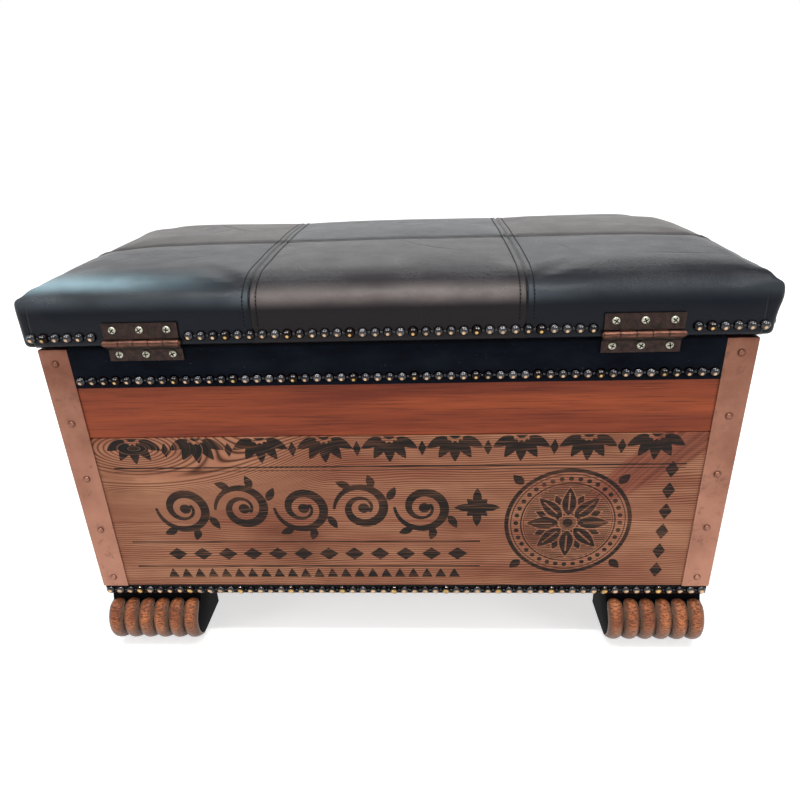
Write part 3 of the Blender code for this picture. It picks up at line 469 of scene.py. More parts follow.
def leather(seamX, seamY):
    f = Finish("leather")
    x, y, z = f.parts(f.coords())
    aside = f.abs(x)

    def heights(low, high):
        # smooth step over heights above the lid's foot
        return f.soft(z, lidLow.z + low, lidLow.z + high)

    middle = f.math("LESS_THAN", aside, seamX)
    nearColour = f.mix(middle, hides["navy"], hides["brown"])
    farColour = f.mix(middle, hides["farBrown"], hides["farBlue"])
    colour = f.mix(f.math("GREATER_THAN", y, seamY), farColour, nearColour)
    cloud = f.noise(f.coords(), 9, 5.0, 0.6)
    onTop = f.span(z, lidLow.z + 0.040, lidLow.z + 0.060)
    colour = f.mix(f.times(f.span(cloud, 0.34, 0.74, 0.05, 0.42), onTop), colour, hides["scuff"])
    # painted sheen: the hide is painted lighter in a band where it turns over the edge, standing in for a highlight
    shoulder = f.times(heights(0.033, 0.046), heights(0.058, 0.046))
    patchy = f.span(f.noise(f.coords(scale=(1, 1, 2)), 13, 3.0), 0.30, 0.70, 0.40, 1.0)
    byPlace = f.times(f.soft(x, -0.20, -0.08, 0.22, 0.92), f.soft(x, 0.11, 0.16, 1.0, 0.42))
    paintedSheen = f.mix(middle, hides["paintedCoolSheen"], hides["paintedSheen"])
    colour = f.mix(f.times(shoulder, patchy, byPlace), colour, paintedSheen)
    # painted sheen: one corner carries a pale blue painted highlight
    paintedBlueSheen = f.times(f.soft(x, 0.13, 0.31), f.soft(y, 0.105, 0.150),
                    f.times(heights(0.049, 0.0585), heights(0.0680, 0.0585)), f.soft(patchy, 0.3, 0.8, 0.55, 1.0))
    colour = f.mix(paintedBlueSheen, colour, hides["paintedBlueSheen"])
    warp = f.times(f.minus(f.noise(f.coords(), 12, 3.0), 0.5), 0.030)
    bentX, bentY = f.plus(x, warp), f.plus(y, warp)
    folds = 0.0
    for *line, depth in hides["folds"]:
        folds = f.most(folds, f.times(foldAt(f, bentX, bentY, *line), depth))
    folds = f.times(folds, onTop)
    # painted shade: dark lines in the folds, the corner tucks, the seams and the stitch rows beside them
    corner = f.times(f.span(f.apart(aside, 0.3475), 0.0004, 0.0016, 1.0, 0.0),
                     f.span(f.apart(y, seamY), 0.172, 0.1735), f.span(z, lidLow.z + 0.046, lidLow.z + 0.030))
    toSeam = f.least(f.apart(aside, seamX), f.apart(y, seamY))
    inSeam = f.span(toSeam, 0.0006, 0.0016, 0.95, 0.0)
    inRow = f.span(f.apart(toSeam, seam["rowAt"]), 0.0004, 0.0014, 0.5, 0.0)
    colour = f.mix(f.most(f.times(folds, 0.52), f.times(corner, 0.4), inRow, inSeam), colour, hides["seamShade"])
    # relief, from the broad slack down to the pebbles
    normal = f.bump(f.noise(f.coords(scale=(1, 1, 1.5)), 17, 3.0), 0.25, 0.0030)
    crease = f.noise(f.coords(scale=(2.2, 1, 1), turn=(0, 0, 0.6)), 46, 4.0, 0.6, 1.8)
    normal = f.bump(f.span(f.apart(crease, 0.5), 0.0, 0.04), 0.07, 0.0006, normal)
    puckers = f.span(f.apart(f.noise(f.coords(scale=(1, 1, 0.30)), 300, 3.0, 0.6, 0.6), 0.5), 0.0, 0.10)
    puckered = f.times(heights(0.022, 0.042), f.soft(cloud, 0.42, 0.60))
    normal = f.bump(f.times(puckers, puckered), 0.35, 0.0005, normal)
    pebbles = f.times(f.span(f.cells(f.coords(), hides["pebble"]), 0, 0.22), 0.6)
    height = f.plus(pebbles, f.times(f.noise(f.coords(), 900, 2.0), 0.4))
    grainLift = f.span(f.noise(f.coords(), 14, 2.0), 0.38, 0.62, 0.35, 1.0)
    normal = f.bump(f.times(height, grainLift), 0.34, 0.00030, normal)
    normal = f.bump(f.minus(0, f.most(folds, f.times(corner, 0.3))), 0.8, 0.0019, normal)
    return f.done({
        "Base Color": colour, "Normal": normal, "Specular IOR Level": hides["gloss"],
        "Sheen Weight": hides["dust"], "Sheen Roughness": 0.35, "Sheen Tint": (0.86, 0.93, 1.0, 1),
        "Roughness": f.span(f.noise(f.coords(), 40, 4.0), 0.3, 0.7, *hides["roughness"]),
    })


def velvetCloth(name):
    f = Finish(name)
    pile = f.noise(f.coords(), 1500, 3.0, 0.7)
    lint = f.math("GREATER_THAN", f.noise(f.coords(), 420, 1.0), 0.80)
    brushed = f.noise(f.coords(scale=(1, 1, 2)), 30, 3.0)
    colour = f.mix(f.span(brushed, 0.3, 0.7), (9, 12, 19), (17, 22, 31))
    colour = f.mix(f.times(lint, 0.5), colour, (92, 92, 96))
    return f.done({
        "Base Color": colour, "Roughness": 0.95, "Specular IOR Level": 0.05,
        "Sheen Weight": 0.03, "Sheen Roughness": 0.5, "Normal": f.bump(pile, 0.6, 0.0004),
    })


def copperSheet():
    f = Finish("copper")
    tone = f.noise(f.coords(), 18, 5.0, 0.6)
    spots = f.noise(f.coords(), 70, 3.0, 0.7)
    x, y, z = f.parts(f.coords())
    # darker towards the top as a painted reflection, with darker tarnish spots and a painted shade ring round the
    # tacks
    # painted reflection: the tone is pushed darker towards the top
    height = f.span(z, baseLow.z, lidLow.z, 0.30, -0.24)
    hazy = f.mix(f.span(f.plus(tone, height), 0.2, 0.8), (113, 72, 57), (168, 120, 100))
    colour = f.mix(f.span(spots, 0.56, 0.74, 0.0, 0.60), hazy, (94, 62, 52))
    side = f.least(f.apart(f.abs(x), baseHigh.x + tackAcross), f.apart(f.abs(y), baseHigh.y + tackAcross))
    up = f.math("MODULO", f.minus(z, strapLow.z + tackHeights[0] - tackPitch * 1.5), tackPitch)
    far = f.hypot(side, f.minus(up, tackPitch / 2))
    radius = strap["tackRadius"]
    # painted shade: a dark ring round each tack, in its dimple
    paintedTackShade = f.times(f.soft(far, radius * 0.80, radius), f.soft(far, radius * 1.55, radius * 1.05))
    colour = f.mix(f.times(paintedTackShade, 0.62), colour, (70, 40, 30))
    scratch = f.noise(f.coords(scale=(1, 1, 26)), 60, 3.0)
    return f.done({
        "Base Color": colour, "Metallic": 0.88, "Roughness": f.span(tone, 0.3, 0.7, 0.34, 0.50),
        "Normal": f.bump(scratch, 0.10, 0.0003, f.bump(f.noise(f.coords(), 34, 2.0, 0.4), 0.30, 0.0025)),
    })


def nailMetal():
    # gunmetal domes with a painted warm reflection below the middle, broken up by noise, and painted glints on top;
    # places are in head radii
    f = Finish("nail_metal")
    across, up = f.attribute("across"), f.attribute("up")

    def spotAt(middleX, middleUp, wide, high):
        offX = f.math("DIVIDE", f.minus(across, middleX), wide)
        offUp = f.math("DIVIDE", f.minus(up, middleUp), high)
        return f.span(f.hypot(offX, offUp), 0.7, 1.25, 1.0, 0.0)

    worn = f.noise(f.coords(), 260, 4.0, 0.6)
    size, real, tone, glint = (f.attribute(name) for name in ("paintedReflectionSize", "real", "tone", "glint"))
    # painted reflection: a warm spot standing in for the floor seen in the lower half of each dome
    share = f.times(spotAt(0.03, f.attribute("below"), size, size), f.span(worn, 0.36, 0.6, 0.55, 1.0))
    dark = f.mix(real, f.mix(tone, (27, 27, 30), (76, 75, 77)), (30, 25, 23))
    warm = f.mix(real, (204, 170, 134), (204, 166, 106))
    # painted glint: two small bright spots painted on each head's upper side
    bright = f.most(spotAt(-0.20, glint, 0.15, 0.11), spotAt(0.18, glint, 0.13, 0.10))
    bright = f.times(bright, f.span(tone, 0, 1, 0.45, 0.9))
    colour = f.mix(bright, f.mix(share, dark, warm), (214, 214, 218))
    return f.done({"Base Color": colour, "Metallic": 1.0, "Roughness": f.span(worn, 0.3, 0.7, 0.09, 0.17)})


def hingeBronze():
    # dark plate, rubbed to copper on the barrel
    f = Finish("hinge_bronze")
    x, y, z = f.parts(f.coords())
    far = f.hypot(f.minus(y, axisY), f.minus(z, axisZ))
    rub = f.noise(f.coords(scale=(1, 1, 6)), 120, 4.0)
    barrel = f.times(f.span(far, 0.0040, 0.0034), f.span(rub, 0.34, 0.56, 0.25, 1.0))
    plate = f.mix(f.span(f.noise(f.coords(), 160, 5.0, 0.7), 0.35, 0.68), (32, 24, 22), (60, 44, 39))
    speck = f.math("GREATER_THAN", f.noise(f.coords(), 800, 2.0), 0.72)
    plate = f.mix(f.times(speck, 0.6), plate, (138, 92, 70))
    colour = f.mix(barrel, plate, (104, 68, 54))
    # painted shade in the gaps between the five knuckles
    away = f.apart(f.abs(x), hingeMiddle)
    gap = f.least(f.apart(away, hingeLength * 0.1), f.apart(away, hingeLength * 0.3))
    gap = f.times(f.span(gap, 0.0004, 0.0009, 1.0, 0.0), f.span(far, 0.0046, 0.0038))
    colour = f.mix(f.times(gap, 0.85), colour, (18, 13, 12))
    return f.done({"Base Color": colour, "Metallic": 0.8, "Roughness": 0.40, "Normal": f.bump(rub, 0.2, 0.0003)})


def screwZinc():
    f = Finish("screw_zinc")
    tone = f.noise(f.coords(), 500, 4.0, 0.6)
    colour = f.mix(f.span(tone, 0.3, 0.7), (142, 140, 126), (204, 202, 184))
    # painted shade in the cross cut
    colour = f.mix(f.attribute("sunk"), colour, (34, 31, 27))
    return f.done({"Base Color": colour, "Metallic": 0.9, "Roughness": f.span(tone, 0.3, 0.7, 0.24, 0.38)})


def carvedWood():
    # stained ribs with fine tool marks, greyer towards the bottom, and painted shade down the rib flanks
    f = Finish("carved_wood")
    mottle = f.noise(f.coords(), 330, 5.0, 0.7)
    broad = f.noise(f.coords(), 40, 3.0)
    marks = f.noise(f.coords(scale=(0.35, 1.3, 1.9)), 400, 3.0, 0.6)
    z = f.parts(f.coords())[2]
    bent = f.plus(z, f.times(f.noise(f.coords(), 90, 3.0), 0.012))
    gouge = f.span(f.math("SINE", f.times(bent, 2 * math.pi / foot["gougeGap"])), -1, 1)
    gouge = f.times(gouge, f.soft(mottle, 0.38, 0.58, 0.2, 1.0))
    wood = f.mix(f.span(broad, 0.3, 0.7), (138, 73, 42), (213, 131, 84))
    wood = f.mix(f.span(marks, 0.48, 0.62, 0.0, 0.75), wood, (74, 42, 30))
    wood = f.mix(f.times(gouge, 0.75), wood, (72, 40, 28))
    # the flank tone is painted shade between the ribs
    for name, share, shade in (("foot", 0.88, (122, 102, 90)), ("flank", 0.85, (84, 63, 52)),
                               ("groove", 0.65, (158, 136, 118))):
        wood = f.mix(f.times(f.attribute(name), share), wood, shade)
    height = f.minus(f.times(mottle, 0.4), f.plus(f.times(gouge, 0.5), f.times(marks, 0.3)))
    return f.done({
        "Base Color": wood, "Roughness": 0.32, "Specular IOR Level": 0.22, "Normal": f.bump(height, 0.85, 0.0010),
    })


def plainFinish(name, low, high, size, detail=3.0, stretch=1, depth=0.0, rough=0.5, specular=0.5):
    # two tones mixed by noise, which also roughens the surface where a depth is given
    f = Finish(name)
    tone = f.noise(f.coords(scale=(1, 1, stretch)), size, detail)
    sockets = {"Base Color": f.mix(tone, low, high), "Roughness": rough, "Specular IOR Level": specular}
    if depth:
        sockets["Normal"] = f.bump(tone, 0.3, depth)
    return f.done(sockets)


# places that several pieces share, read from the frame
lidLow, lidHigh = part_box("leather_cover")
baseLow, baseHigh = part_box("base_board")
railLow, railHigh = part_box("top_rail_back")
crateLow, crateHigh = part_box("crate_board_back")
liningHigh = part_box("box_lining")[1]
pinLow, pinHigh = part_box("hinge_left_pin")
_, axisY, axisZ = (pinLow + pinHigh) / 2
leafLow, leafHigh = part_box("hinge_right_box_leaf")
hingeMiddle = (leafLow.x + leafHigh.x) / 2
hingeLength = leafHigh.x - leafLow.x
print("frame read:", len(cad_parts), "nodes")


# leather lid
lidPad = {
    "sideHeight": 0.061, "topRadius": 0.025, "footRadius": 0.005, "cornerRadius": 0.006, "crown": 0.0045,
    "endSquare": 3.0, "endSlope": {"right": (0.0045, 0.0051, 0.0085), "left": (0.0085, 0.0016, 0.0062)},
    "slopeFrom": 0.275, "slopeRun": 0.085, "longReach": (0.034, 0.044),
    "lean": (0.0045, 0.0010), "leanHeights": (0.012, 0.045), "leanEnd": (0.31, 0.358),
    "cornerLift": (-0.0008, 0.0012, 0.0062), "liftX": (0.316, 0.352), "liftY": (0.128, 0.168),
    "pullX": (0.322, 0.352), "pullY": (0.140, 0.168), "wrinkle": 0.0006, "pull": 0.0007,
    "grid": 0.009, "heldHeight": 0.019, "puff": 0.0035, "pressure": 4.0, "frames": 20,
    "seamX": 0.130, "seamY": -0.003,
}
seam = {"rowAt": 0.0065, "groove": 0.0016, "ridge": 0.0005, "rowDip": 0.0007,
        "lines": (0.0, 0.0010, 0.0022, 0.0045, 0.0058, 0.0072, 0.0095)}
stitch = {"pitch": 0.0038, "length": 0.0029, "width": 0.0012, "sink": 0.00005}


def seamDistance(x, y):
    return min(abs(abs(x) - lidPad["seamX"]), abs(y - lidPad["seamY"]))


def lidForm(name, withSeams):
    # rounded box with a grid of edges, then bent in code to the lid's own outline
    turn, grid = lidPad["topRadius"], lidPad["grid"]
    top = lidLow.z + lidPad["sideHeight"]
    ob = startCube(name, lidLow, (lidHigh.x, lidHigh.y, top))
    bevelEdges(ob, lambda e: all(v.co.z > top - 0.0001 for v in e.verts), turn, 6)

    def mitreOrUpright(e):
        way = e.verts[1].co - e.verts[0].co
        level = abs(way.z) < 0.0001
        return not level and (abs(way.x) > 0.0001) == (abs(way.y) > 0.0001)

    bevelEdges(ob, mitreOrUpright, lidPad["cornerRadius"], 3)
    bevelEdges(ob, lambda e: all(v.co.z < lidLow.z + 0.0001 for v in e.verts), lidPad["footRadius"], 3)
    placesX = steps(lidLow.x, lidHigh.x, grid)
    placesY = steps(lidLow.y, lidHigh.y, grid)
    if withSeams:
        reach = max(seam["lines"]) + 0.003
        placesX = [x for x in placesX if abs(abs(x) - lidPad["seamX"]) > reach]
        placesY = [y for y in placesY if abs(y - lidPad["seamY"]) > reach]
        for d in seam["lines"]:
            for way in ((-1, 1) if d else (1,)):
                placesX += [lidPad["seamX"] + way * d, -lidPad["seamX"] + way * d]
                placesY.append(lidPad["seamY"] + way * d)
    sliceAt(ob, 0, placesX)
    sliceAt(ob, 1, placesY)
    sliceAt(ob, 2, steps(lidLow.z, top - turn, grid))
    where = points(ob)
    halfX, halfY = (lidHigh.x - lidLow.x) / 2, (lidHigh.y - lidLow.y) / 2
    midY = (lidHigh.y + lidLow.y) / 2
    curve = halfX - turn
    for p in where:
        rise = between(p[2], top - turn, top)
        t = clamped((abs(p[0]) - curve) / turn)
        if 0 < t < 1 and p[2] > top - turn:
            square = (1 - (1 - t * t) ** (lidPad["endSquare"] / 2)) ** (1 / lidPad["endSquare"])
            p[0] = math.copysign(curve + turn * square, p[0])
        acrossX = min(1, abs(p[0]) / halfX) ** 3
        acrossY = min(1, abs(p[1] - midY) / halfY) ** 2.2
        p[2] += lidPad["crown"] * rise * (1 - acrossX) * (1 - acrossY)
        # the ends slope down by different amounts at their front, middle and back
        front, centre, back = lidPad["endSlope"]["right" if p[0] > 0 else "left"]
        slope = centre + ((back if p[1] > midY else front) - centre) * acrossY
        p[2] -= slope * rise * max(0.0, (abs(p[0]) - lidPad["slopeFrom"]) / lidPad["slopeRun"]) ** 1.4
        # over the long sides the turn is wider than it is high
        inset = max(0.0, halfY - abs(p[1] - midY))
        reach = lidPad["longReach"][1 if p[1] > midY else 0]
        tight, wide = (math.sqrt(1 - max(0.0, 1 - inset / r) ** 2) for r in (turn, reach))
        p[2] -= turn * (tight - wide) * rise
        # the back corners stand up and the ends lean out
        t = clamped((p[2] - top + turn) / turn)
        lift = between(abs(p[0]), *lidPad["liftX"]) * between(p[1] - midY, *lidPad["liftY"])
        lift *= math.sin(math.pi * t ** 0.8) ** 0.8
        for axis, way in enumerate((math.copysign(1, p[0]), math.copysign(1, p[1] - midY), 1)):
            p[axis] += way * lift * lidPad["cornerLift"][axis]
        lean = lidPad["lean"][0 if p[0] < 0 else 1] * between(p[2] - lidLow.z, *lidPad["leanHeights"])
        p[0] += math.copysign(lean, p[0]) * between(abs(p[0]), *lidPad["leanEnd"])
    movePoints(ob, where)
    return ob


def puffed(form):
    # cloth blown up gently, held at the nail line and sewn down along the seams
    rest = points(form)
    held = form.vertex_groups.new(name="held")
    for v in form.data.vertices:
        weight = 0.85 * (1 - between(seamDistance(v.co.x, v.co.y), 0.003, 0.014))
        if v.co.z < lidLow.z + lidPad["heldHeight"]:
            weight = 1.0
        held.add([v.index], weight, "REPLACE")
    only(form)
    modifier = form.modifiers.new("puff", "CLOTH")
    for key, value in (("quality", 5), ("mass", 0.35), ("tension_stiffness", 30), ("compression_stiffness", 30),
                       ("bending_stiffness", 1.5), ("use_pressure", True),
                       ("uniform_pressure_force", lidPad["pressure"]), ("vertex_group_mass", "held")):
        setattr(modifier.settings, key, value)
    modifier.settings.effector_weights.gravity = 0
    modifier.collision_settings.use_collision = False
    for frameNumber in range(1, lidPad["frames"] + 1):
        bpy.context.scene.frame_set(frameNumber)
    bpy.ops.object.modifier_apply(modifier=modifier.name)
    bpy.context.scene.frame_set(1)
    moved = points(form) - rest
    length = np.linalg.norm(moved, axis=1)
    share = np.minimum(1.0, lidPad["puff"] / np.maximum(length, 1e-9))
    print("lid puffed: most", round(float(length.max()) * 1000, 1), "mm, capped at", lidPad["puff"] * 1000)
    return rest, moved * share[:, None]


def seamProfile(d):
    # height of the sewn band above the hide, by distance from the seam line
    grooveDip = -seam["groove"] * (1 - between(d, 0.0, 0.0016))
    ridge = seam["ridge"] * between(d, 0.0008, 0.0024) * (1 - between(d, 0.0048, 0.0065))
    row = -seam["rowDip"] * (1 - between(abs(d - seam["rowAt"]), 0.0, 0.0016))
    return grooveDip + ridge + row


def makeLid():
    skin = lidForm("leatherLid", True)
    form = lidForm("lidPuffForm", False)
    rest, moved = puffed(form)
    tree = KDTree(len(rest))
    for i, p in enumerate(rest):
        tree.insert(p, i)
    tree.balance()
    where = points(skin)
    for p in where:
        found = tree.find_n(p, 5)
        weights = [1 / (d + 0.002) ** 2 for _, _, d in found]
        p += sum(w * moved[i] for w, (_, i, _) in zip(weights, found)) / sum(weights)
    movePoints(skin, where)
    drop(form)
    # sewn bands, pulled corners and slack wrinkles
    normals = [v.normal.copy() for v in skin.data.vertices]
    where = points(skin)
    for p, n in zip(where, normals):
        if p[2] < lidLow.z + 0.006:
            continue
        rise = seamProfile(seamDistance(p[0], p[1]))
        wrinkle = waver(p[0] * 11, p[1] * 23, p[2] * 30) * lidPad["wrinkle"]
        corner = 0.6 * between(abs(p[0]), *lidPad["pullX"]) * between(abs(p[1] - lidPad["seamY"]), *lidPad["pullY"])
        pull = math.sin(p[2] * 520 + p[0] * 90) * lidPad["pull"] * corner
        quiet = between(p[2], lidLow.z + 0.016, lidLow.z + 0.034)
        p += np.array(n) * (rise + (wrinkle + pull) * quiet)
    # nothing may bulge through the hinge plates
    for p in where:
        if p[1] > lidHigh.y - 0.0003 and p[2] < lidLow.z + 0.030:
            p[1] = min(p[1], lidHigh.y - 0.0001)
    movePoints(skin, where)
    applyModifier(skin, "SUBSURF", levels=1, render_levels=1)
    tidyNormals(skin)
    smoothShade(skin, 60)
    return skin


def surfaceRow(tree, axis, place, ends):
    # points on the lid along one stitch row; axis is 0 for a row at fixed x, 1 for one at fixed y
    top = lidLow.z + lidPad["sideHeight"]
    low, high = ends
    out, core = 0.04, 0.030
    foot = lidLow.z + lidPad["heldHeight"] - 0.001
    rise = top + out - foot
    path = [(low - out, foot + rise * i / 50) for i in range(50)]
    path += [(low - out + (high - low + 2 * out) * i / 700, top + out) for i in range(700)]
    path += [(high + out, top + out - rise * i / 50) for i in range(51)]
    row = []
    for a, z in path:
        inner = (min(max(a, low + core), high - core), min(z, top - core))
        if axis == 0:
            start, end = Vector((place, a, z)), Vector((place, *inner))
        else:
            start, end = Vector((a, place, z)), Vector((inner[0], place, inner[1]))
        hit, normal, _, _ = tree.ray_cast(start, (end - start).normalized())
        if hit:
            row.append((hit, normal))
    return row


def makeStitches(skin):
    tree = BVHTree.FromObject(skin, bpy.context.evaluated_depsgraph_get())
    clearSelection()
    bpy.ops.mesh.primitive_uv_sphere_add(segments=6, ring_count=4, radius=0.5)
    master = bpy.context.object
    master.scale = (stitch["width"], stitch["length"], stitch["width"])
    applyPlace()
    rows = []
    for way in (-1, 1):
        for line in (-lidPad["seamX"], lidPad["seamX"]):
            rows.append(surfaceRow(tree, 0, line + way * seam["rowAt"], (lidLow.y, lidHigh.y)))
        rows.append(surfaceRow(tree, 1, lidPad["seamY"] + way * seam["rowAt"], (lidLow.x, lidHigh.x)))
    copies = []
    for row in rows:
        travelled = 0.0
        wanted = stitch["pitch"] / 2
        for (a, normal), (b, _) in zip(row, row[1:]):
            gap = (b - a).length
            if travelled + gap >= wanted and gap > 0:
                spot = a.lerp(b, (wanted - travelled) / gap)
                along = (b - a).normalized()
                out = (normal - along * normal.dot(along)).normalized()
                turn = Matrix((along.cross(out), along, out)).transposed().to_4x4()
                copies.append(copyAt(master, Matrix.Translation(spot - out * stitch["sink"]) @ turn))
                wanted += stitch["pitch"]
            travelled += gap
    drop(master)
    thread = joinAll(copies, "lidStitching")
    smoothShade(thread, 60)
    print("stitches:", len(copies))
    return thread


# nail strips: domes and links copied along each CAD strip; every fifth head is a real nail
nail = {
    "pitch": 0.012, "radius": 0.005, "height": 0.0040, "link": (0.0046, 0.0009, 0.0022), "realEvery": 5,
    # size, real nail or not, painted warm reflection's size and height, painted glint's height
    "heads": {"strip": (1.0, 0.0, 0.30, -0.32, 0.52), "real": (1.06, 1.0, 0.27, -0.30, 0.52),
              "lowStrip": (1.0, 0.0, 0.50, -0.08, 1.02), "lowReal": (1.06, 1.0, 0.56, -0.06, 0.94)},
}


def domeHead(name, radius, height, sides, rings):
    # a half ball with its flat back at y = 0 and its crown towards +Y
    clearSelection()
    bpy.ops.mesh.primitive_uv_sphere_add(segments=sides, ring_count=rings, radius=1)
    ob = bpy.context.object
    ob.name = name
    editAll()
    bpy.ops.mesh.bisect(plane_co=(0, 0, 0), plane_no=(0, 0, 1), clear_inner=True, use_fill=True)
    objectMode()
    ob.scale = (radius, radius, height)
    applyPlace()
    ob.data.transform(Matrix.Rotation(-math.pi / 2, 4, "X"))
    return ob


def markHead(head, radius, real, paintedReflectionSize, below, glint):
    # where each point lies on the head, how large and low its painted warm reflection is, and how high its painted
    # glint
    where = points(head)
    setAttribute(head, "across", where[:, 0] / radius)
    setAttribute(head, "up", where[:, 2] / radius)
    for name, value in (("real", real), ("paintedReflectionSize", paintedReflectionSize), ("below", below), ("glint", glint)):
        setAttribute(head, name, np.full(len(where), value))


def makeNailStrips(material):
    heads = {}
    for kind, (grow, *marks) in nail["heads"].items():
        heads[kind] = domeHead("nailHead", nail["radius"] * grow, nail["height"] * grow, 14, 8)
        markHead(heads[kind], nail["radius"] * grow, *marks)
    link = startCube("nailLink", [-s / 2 for s in nail["link"]], [s / 2 for s in nail["link"]])
    bevelEdges(link, anyEdge, 0.0003, 1)
    objectMode()
    link.data.transform(Matrix.Translation((0, nail["link"][1] / 2, 0)))
    markHead(link, nail["radius"], 0.0, 0.01, -9.0, 9.0)
    total = 0
    for node in sorted(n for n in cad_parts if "nails" in n):
        low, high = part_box(node)
        alongX = high.x - low.x > high.y - low.y
        origin = (low + high) / 2
        if alongX:
            turn = 0 if origin.y > 0 else math.pi
            origin.y = low.y if origin.y > 0 else high.y
        else:
            turn = -math.pi / 2 if origin.x > 0 else math.pi / 2
            origin.x = low.x if origin.x > 0 else high.x
        run = (high.x - low.x) if alongX else (high.y - low.y)
        count = round((run - 2 * nail["radius"]) / nail["pitch"]) + 1
        place = Matrix.Translation(origin) @ Matrix.Rotation(turn, 4, "Z")
        copies = []
        for i in range(count):
            x = (i - (count - 1) / 2) * nail["pitch"]
            kind = "real" if i % nail["realEvery"] == nail["realEvery"] - 1 else "strip"
            if node.startswith("base"):
                kind = "low" + kind.capitalize()
            wobble = Matrix.Rotation(random.uniform(-0.22, 0.22), 4, "Y")
            lift = Matrix.Translation((x, 0, random.uniform(-0.00025, 0.00025)))
            head = copyAt(heads[kind], place @ lift @ wobble)
            tone = random.uniform(0, 1)
            setAttribute(head, "tone", np.full(len(head.data.vertices), tone))
            copies.append(head)
            if i < count - 1:
                bar = copyAt(link, place @ Matrix.Translation((x + nail["pitch"] / 2, 0, 0)))
                setAttribute(bar, "tone", np.full(len(bar.data.vertices), 0.5))
                copies.append(bar)
        strip = joinAll(copies, node.replace("nails", "nailTrim"))
        smoothShade(strip, 50)
        finishPiece(strip, material, "lid" if node.startswith("lid") else "box", [node])
        total += count
    for ob in (*heads.values(), link):
        drop(ob)
    print("nail heads:", total)


# hinge screws: a round head with a cross cut in it
screw = {"radius": 0.0039, "height": 0.0020, "slotLong": 0.0052, "slotWide": 0.0013, "slotDeep": 0.0014}


def makeScrews(material):
    head = domeHead("screwHead", screw["radius"], screw["height"], 20, 10)
    for turned in (0, 1):
        long, wide = screw["slotLong"] / 2, screw["slotWide"] / 2
        sizeX, sizeZ = (long, wide) if turned else (wide, long)
        low = (-sizeX, screw["height"] - screw["slotDeep"], -sizeZ)
        cutter = startCube("slotCutter", low, (sizeX, screw["height"] * 2, sizeZ))
        applyModifier(head, "BOOLEAN", operation="DIFFERENCE", object=cutter, solver="EXACT")
        drop(cutter)
    tidyNormals(head)
    # the cut's own points lie under the dome, near its middle; they get painted shade
    x, up, z = points(head).T
    far = np.hypot(x, z)
    dome = screw["height"] * np.sqrt(np.maximum(0, 1 - (far / screw["radius"]) ** 2))
    sunk = (far < screw["slotLong"] / 2 + 0.0003) & (up < dome - 0.00015) & (up > screw["height"] * 0.1)
    setAttribute(head, "sunk", sunk)
    for node in sorted(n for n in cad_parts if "screw" in n):
        low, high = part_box(node)
        seat = Vector(((low.x + high.x) / 2, high.y - screw["height"], (low.z + high.z) / 2))
        turn = Matrix.Rotation(random.uniform(0, math.pi), 4, "Y")
        ob = copyAt(head, Matrix.Translation(seat) @ turn)
        ob.name = node.replace("hinge", "hingeHead")
        smoothShade(ob, 35)
        finishPiece(ob, material, "lid" if "_lid_" in node else "box", [node])
    drop(head)


# copper corners: bent sheet with rolled edges and a top lip, dimpled round each tack
strap = {"leg": 0.030, "thick": 0.0010, "fold": 0.0080, "edge": 0.0012, "gap": 0.0003,
         "tackRadius": 0.0032, "tackHeight": 0.0024, "tacks": 5, "topInset": 0.0150, "footInset": 0.0125,
         "dip": 0.00036, "dipReach": 0.0042, "sway": 0.00018, "deepest": 0.00028}
strapLow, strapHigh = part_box("corner_strap_back_right")
tackPitch = (strapHigh.z - strapLow.z - strap["topInset"] - strap["footInset"]) / (strap["tacks"] - 1)
tackHeights = [strap["footInset"] + tackPitch * i for i in range(strap["tacks"])]
tackAcross = strap["gap"] + strap["thick"] - strap["leg"] / 2


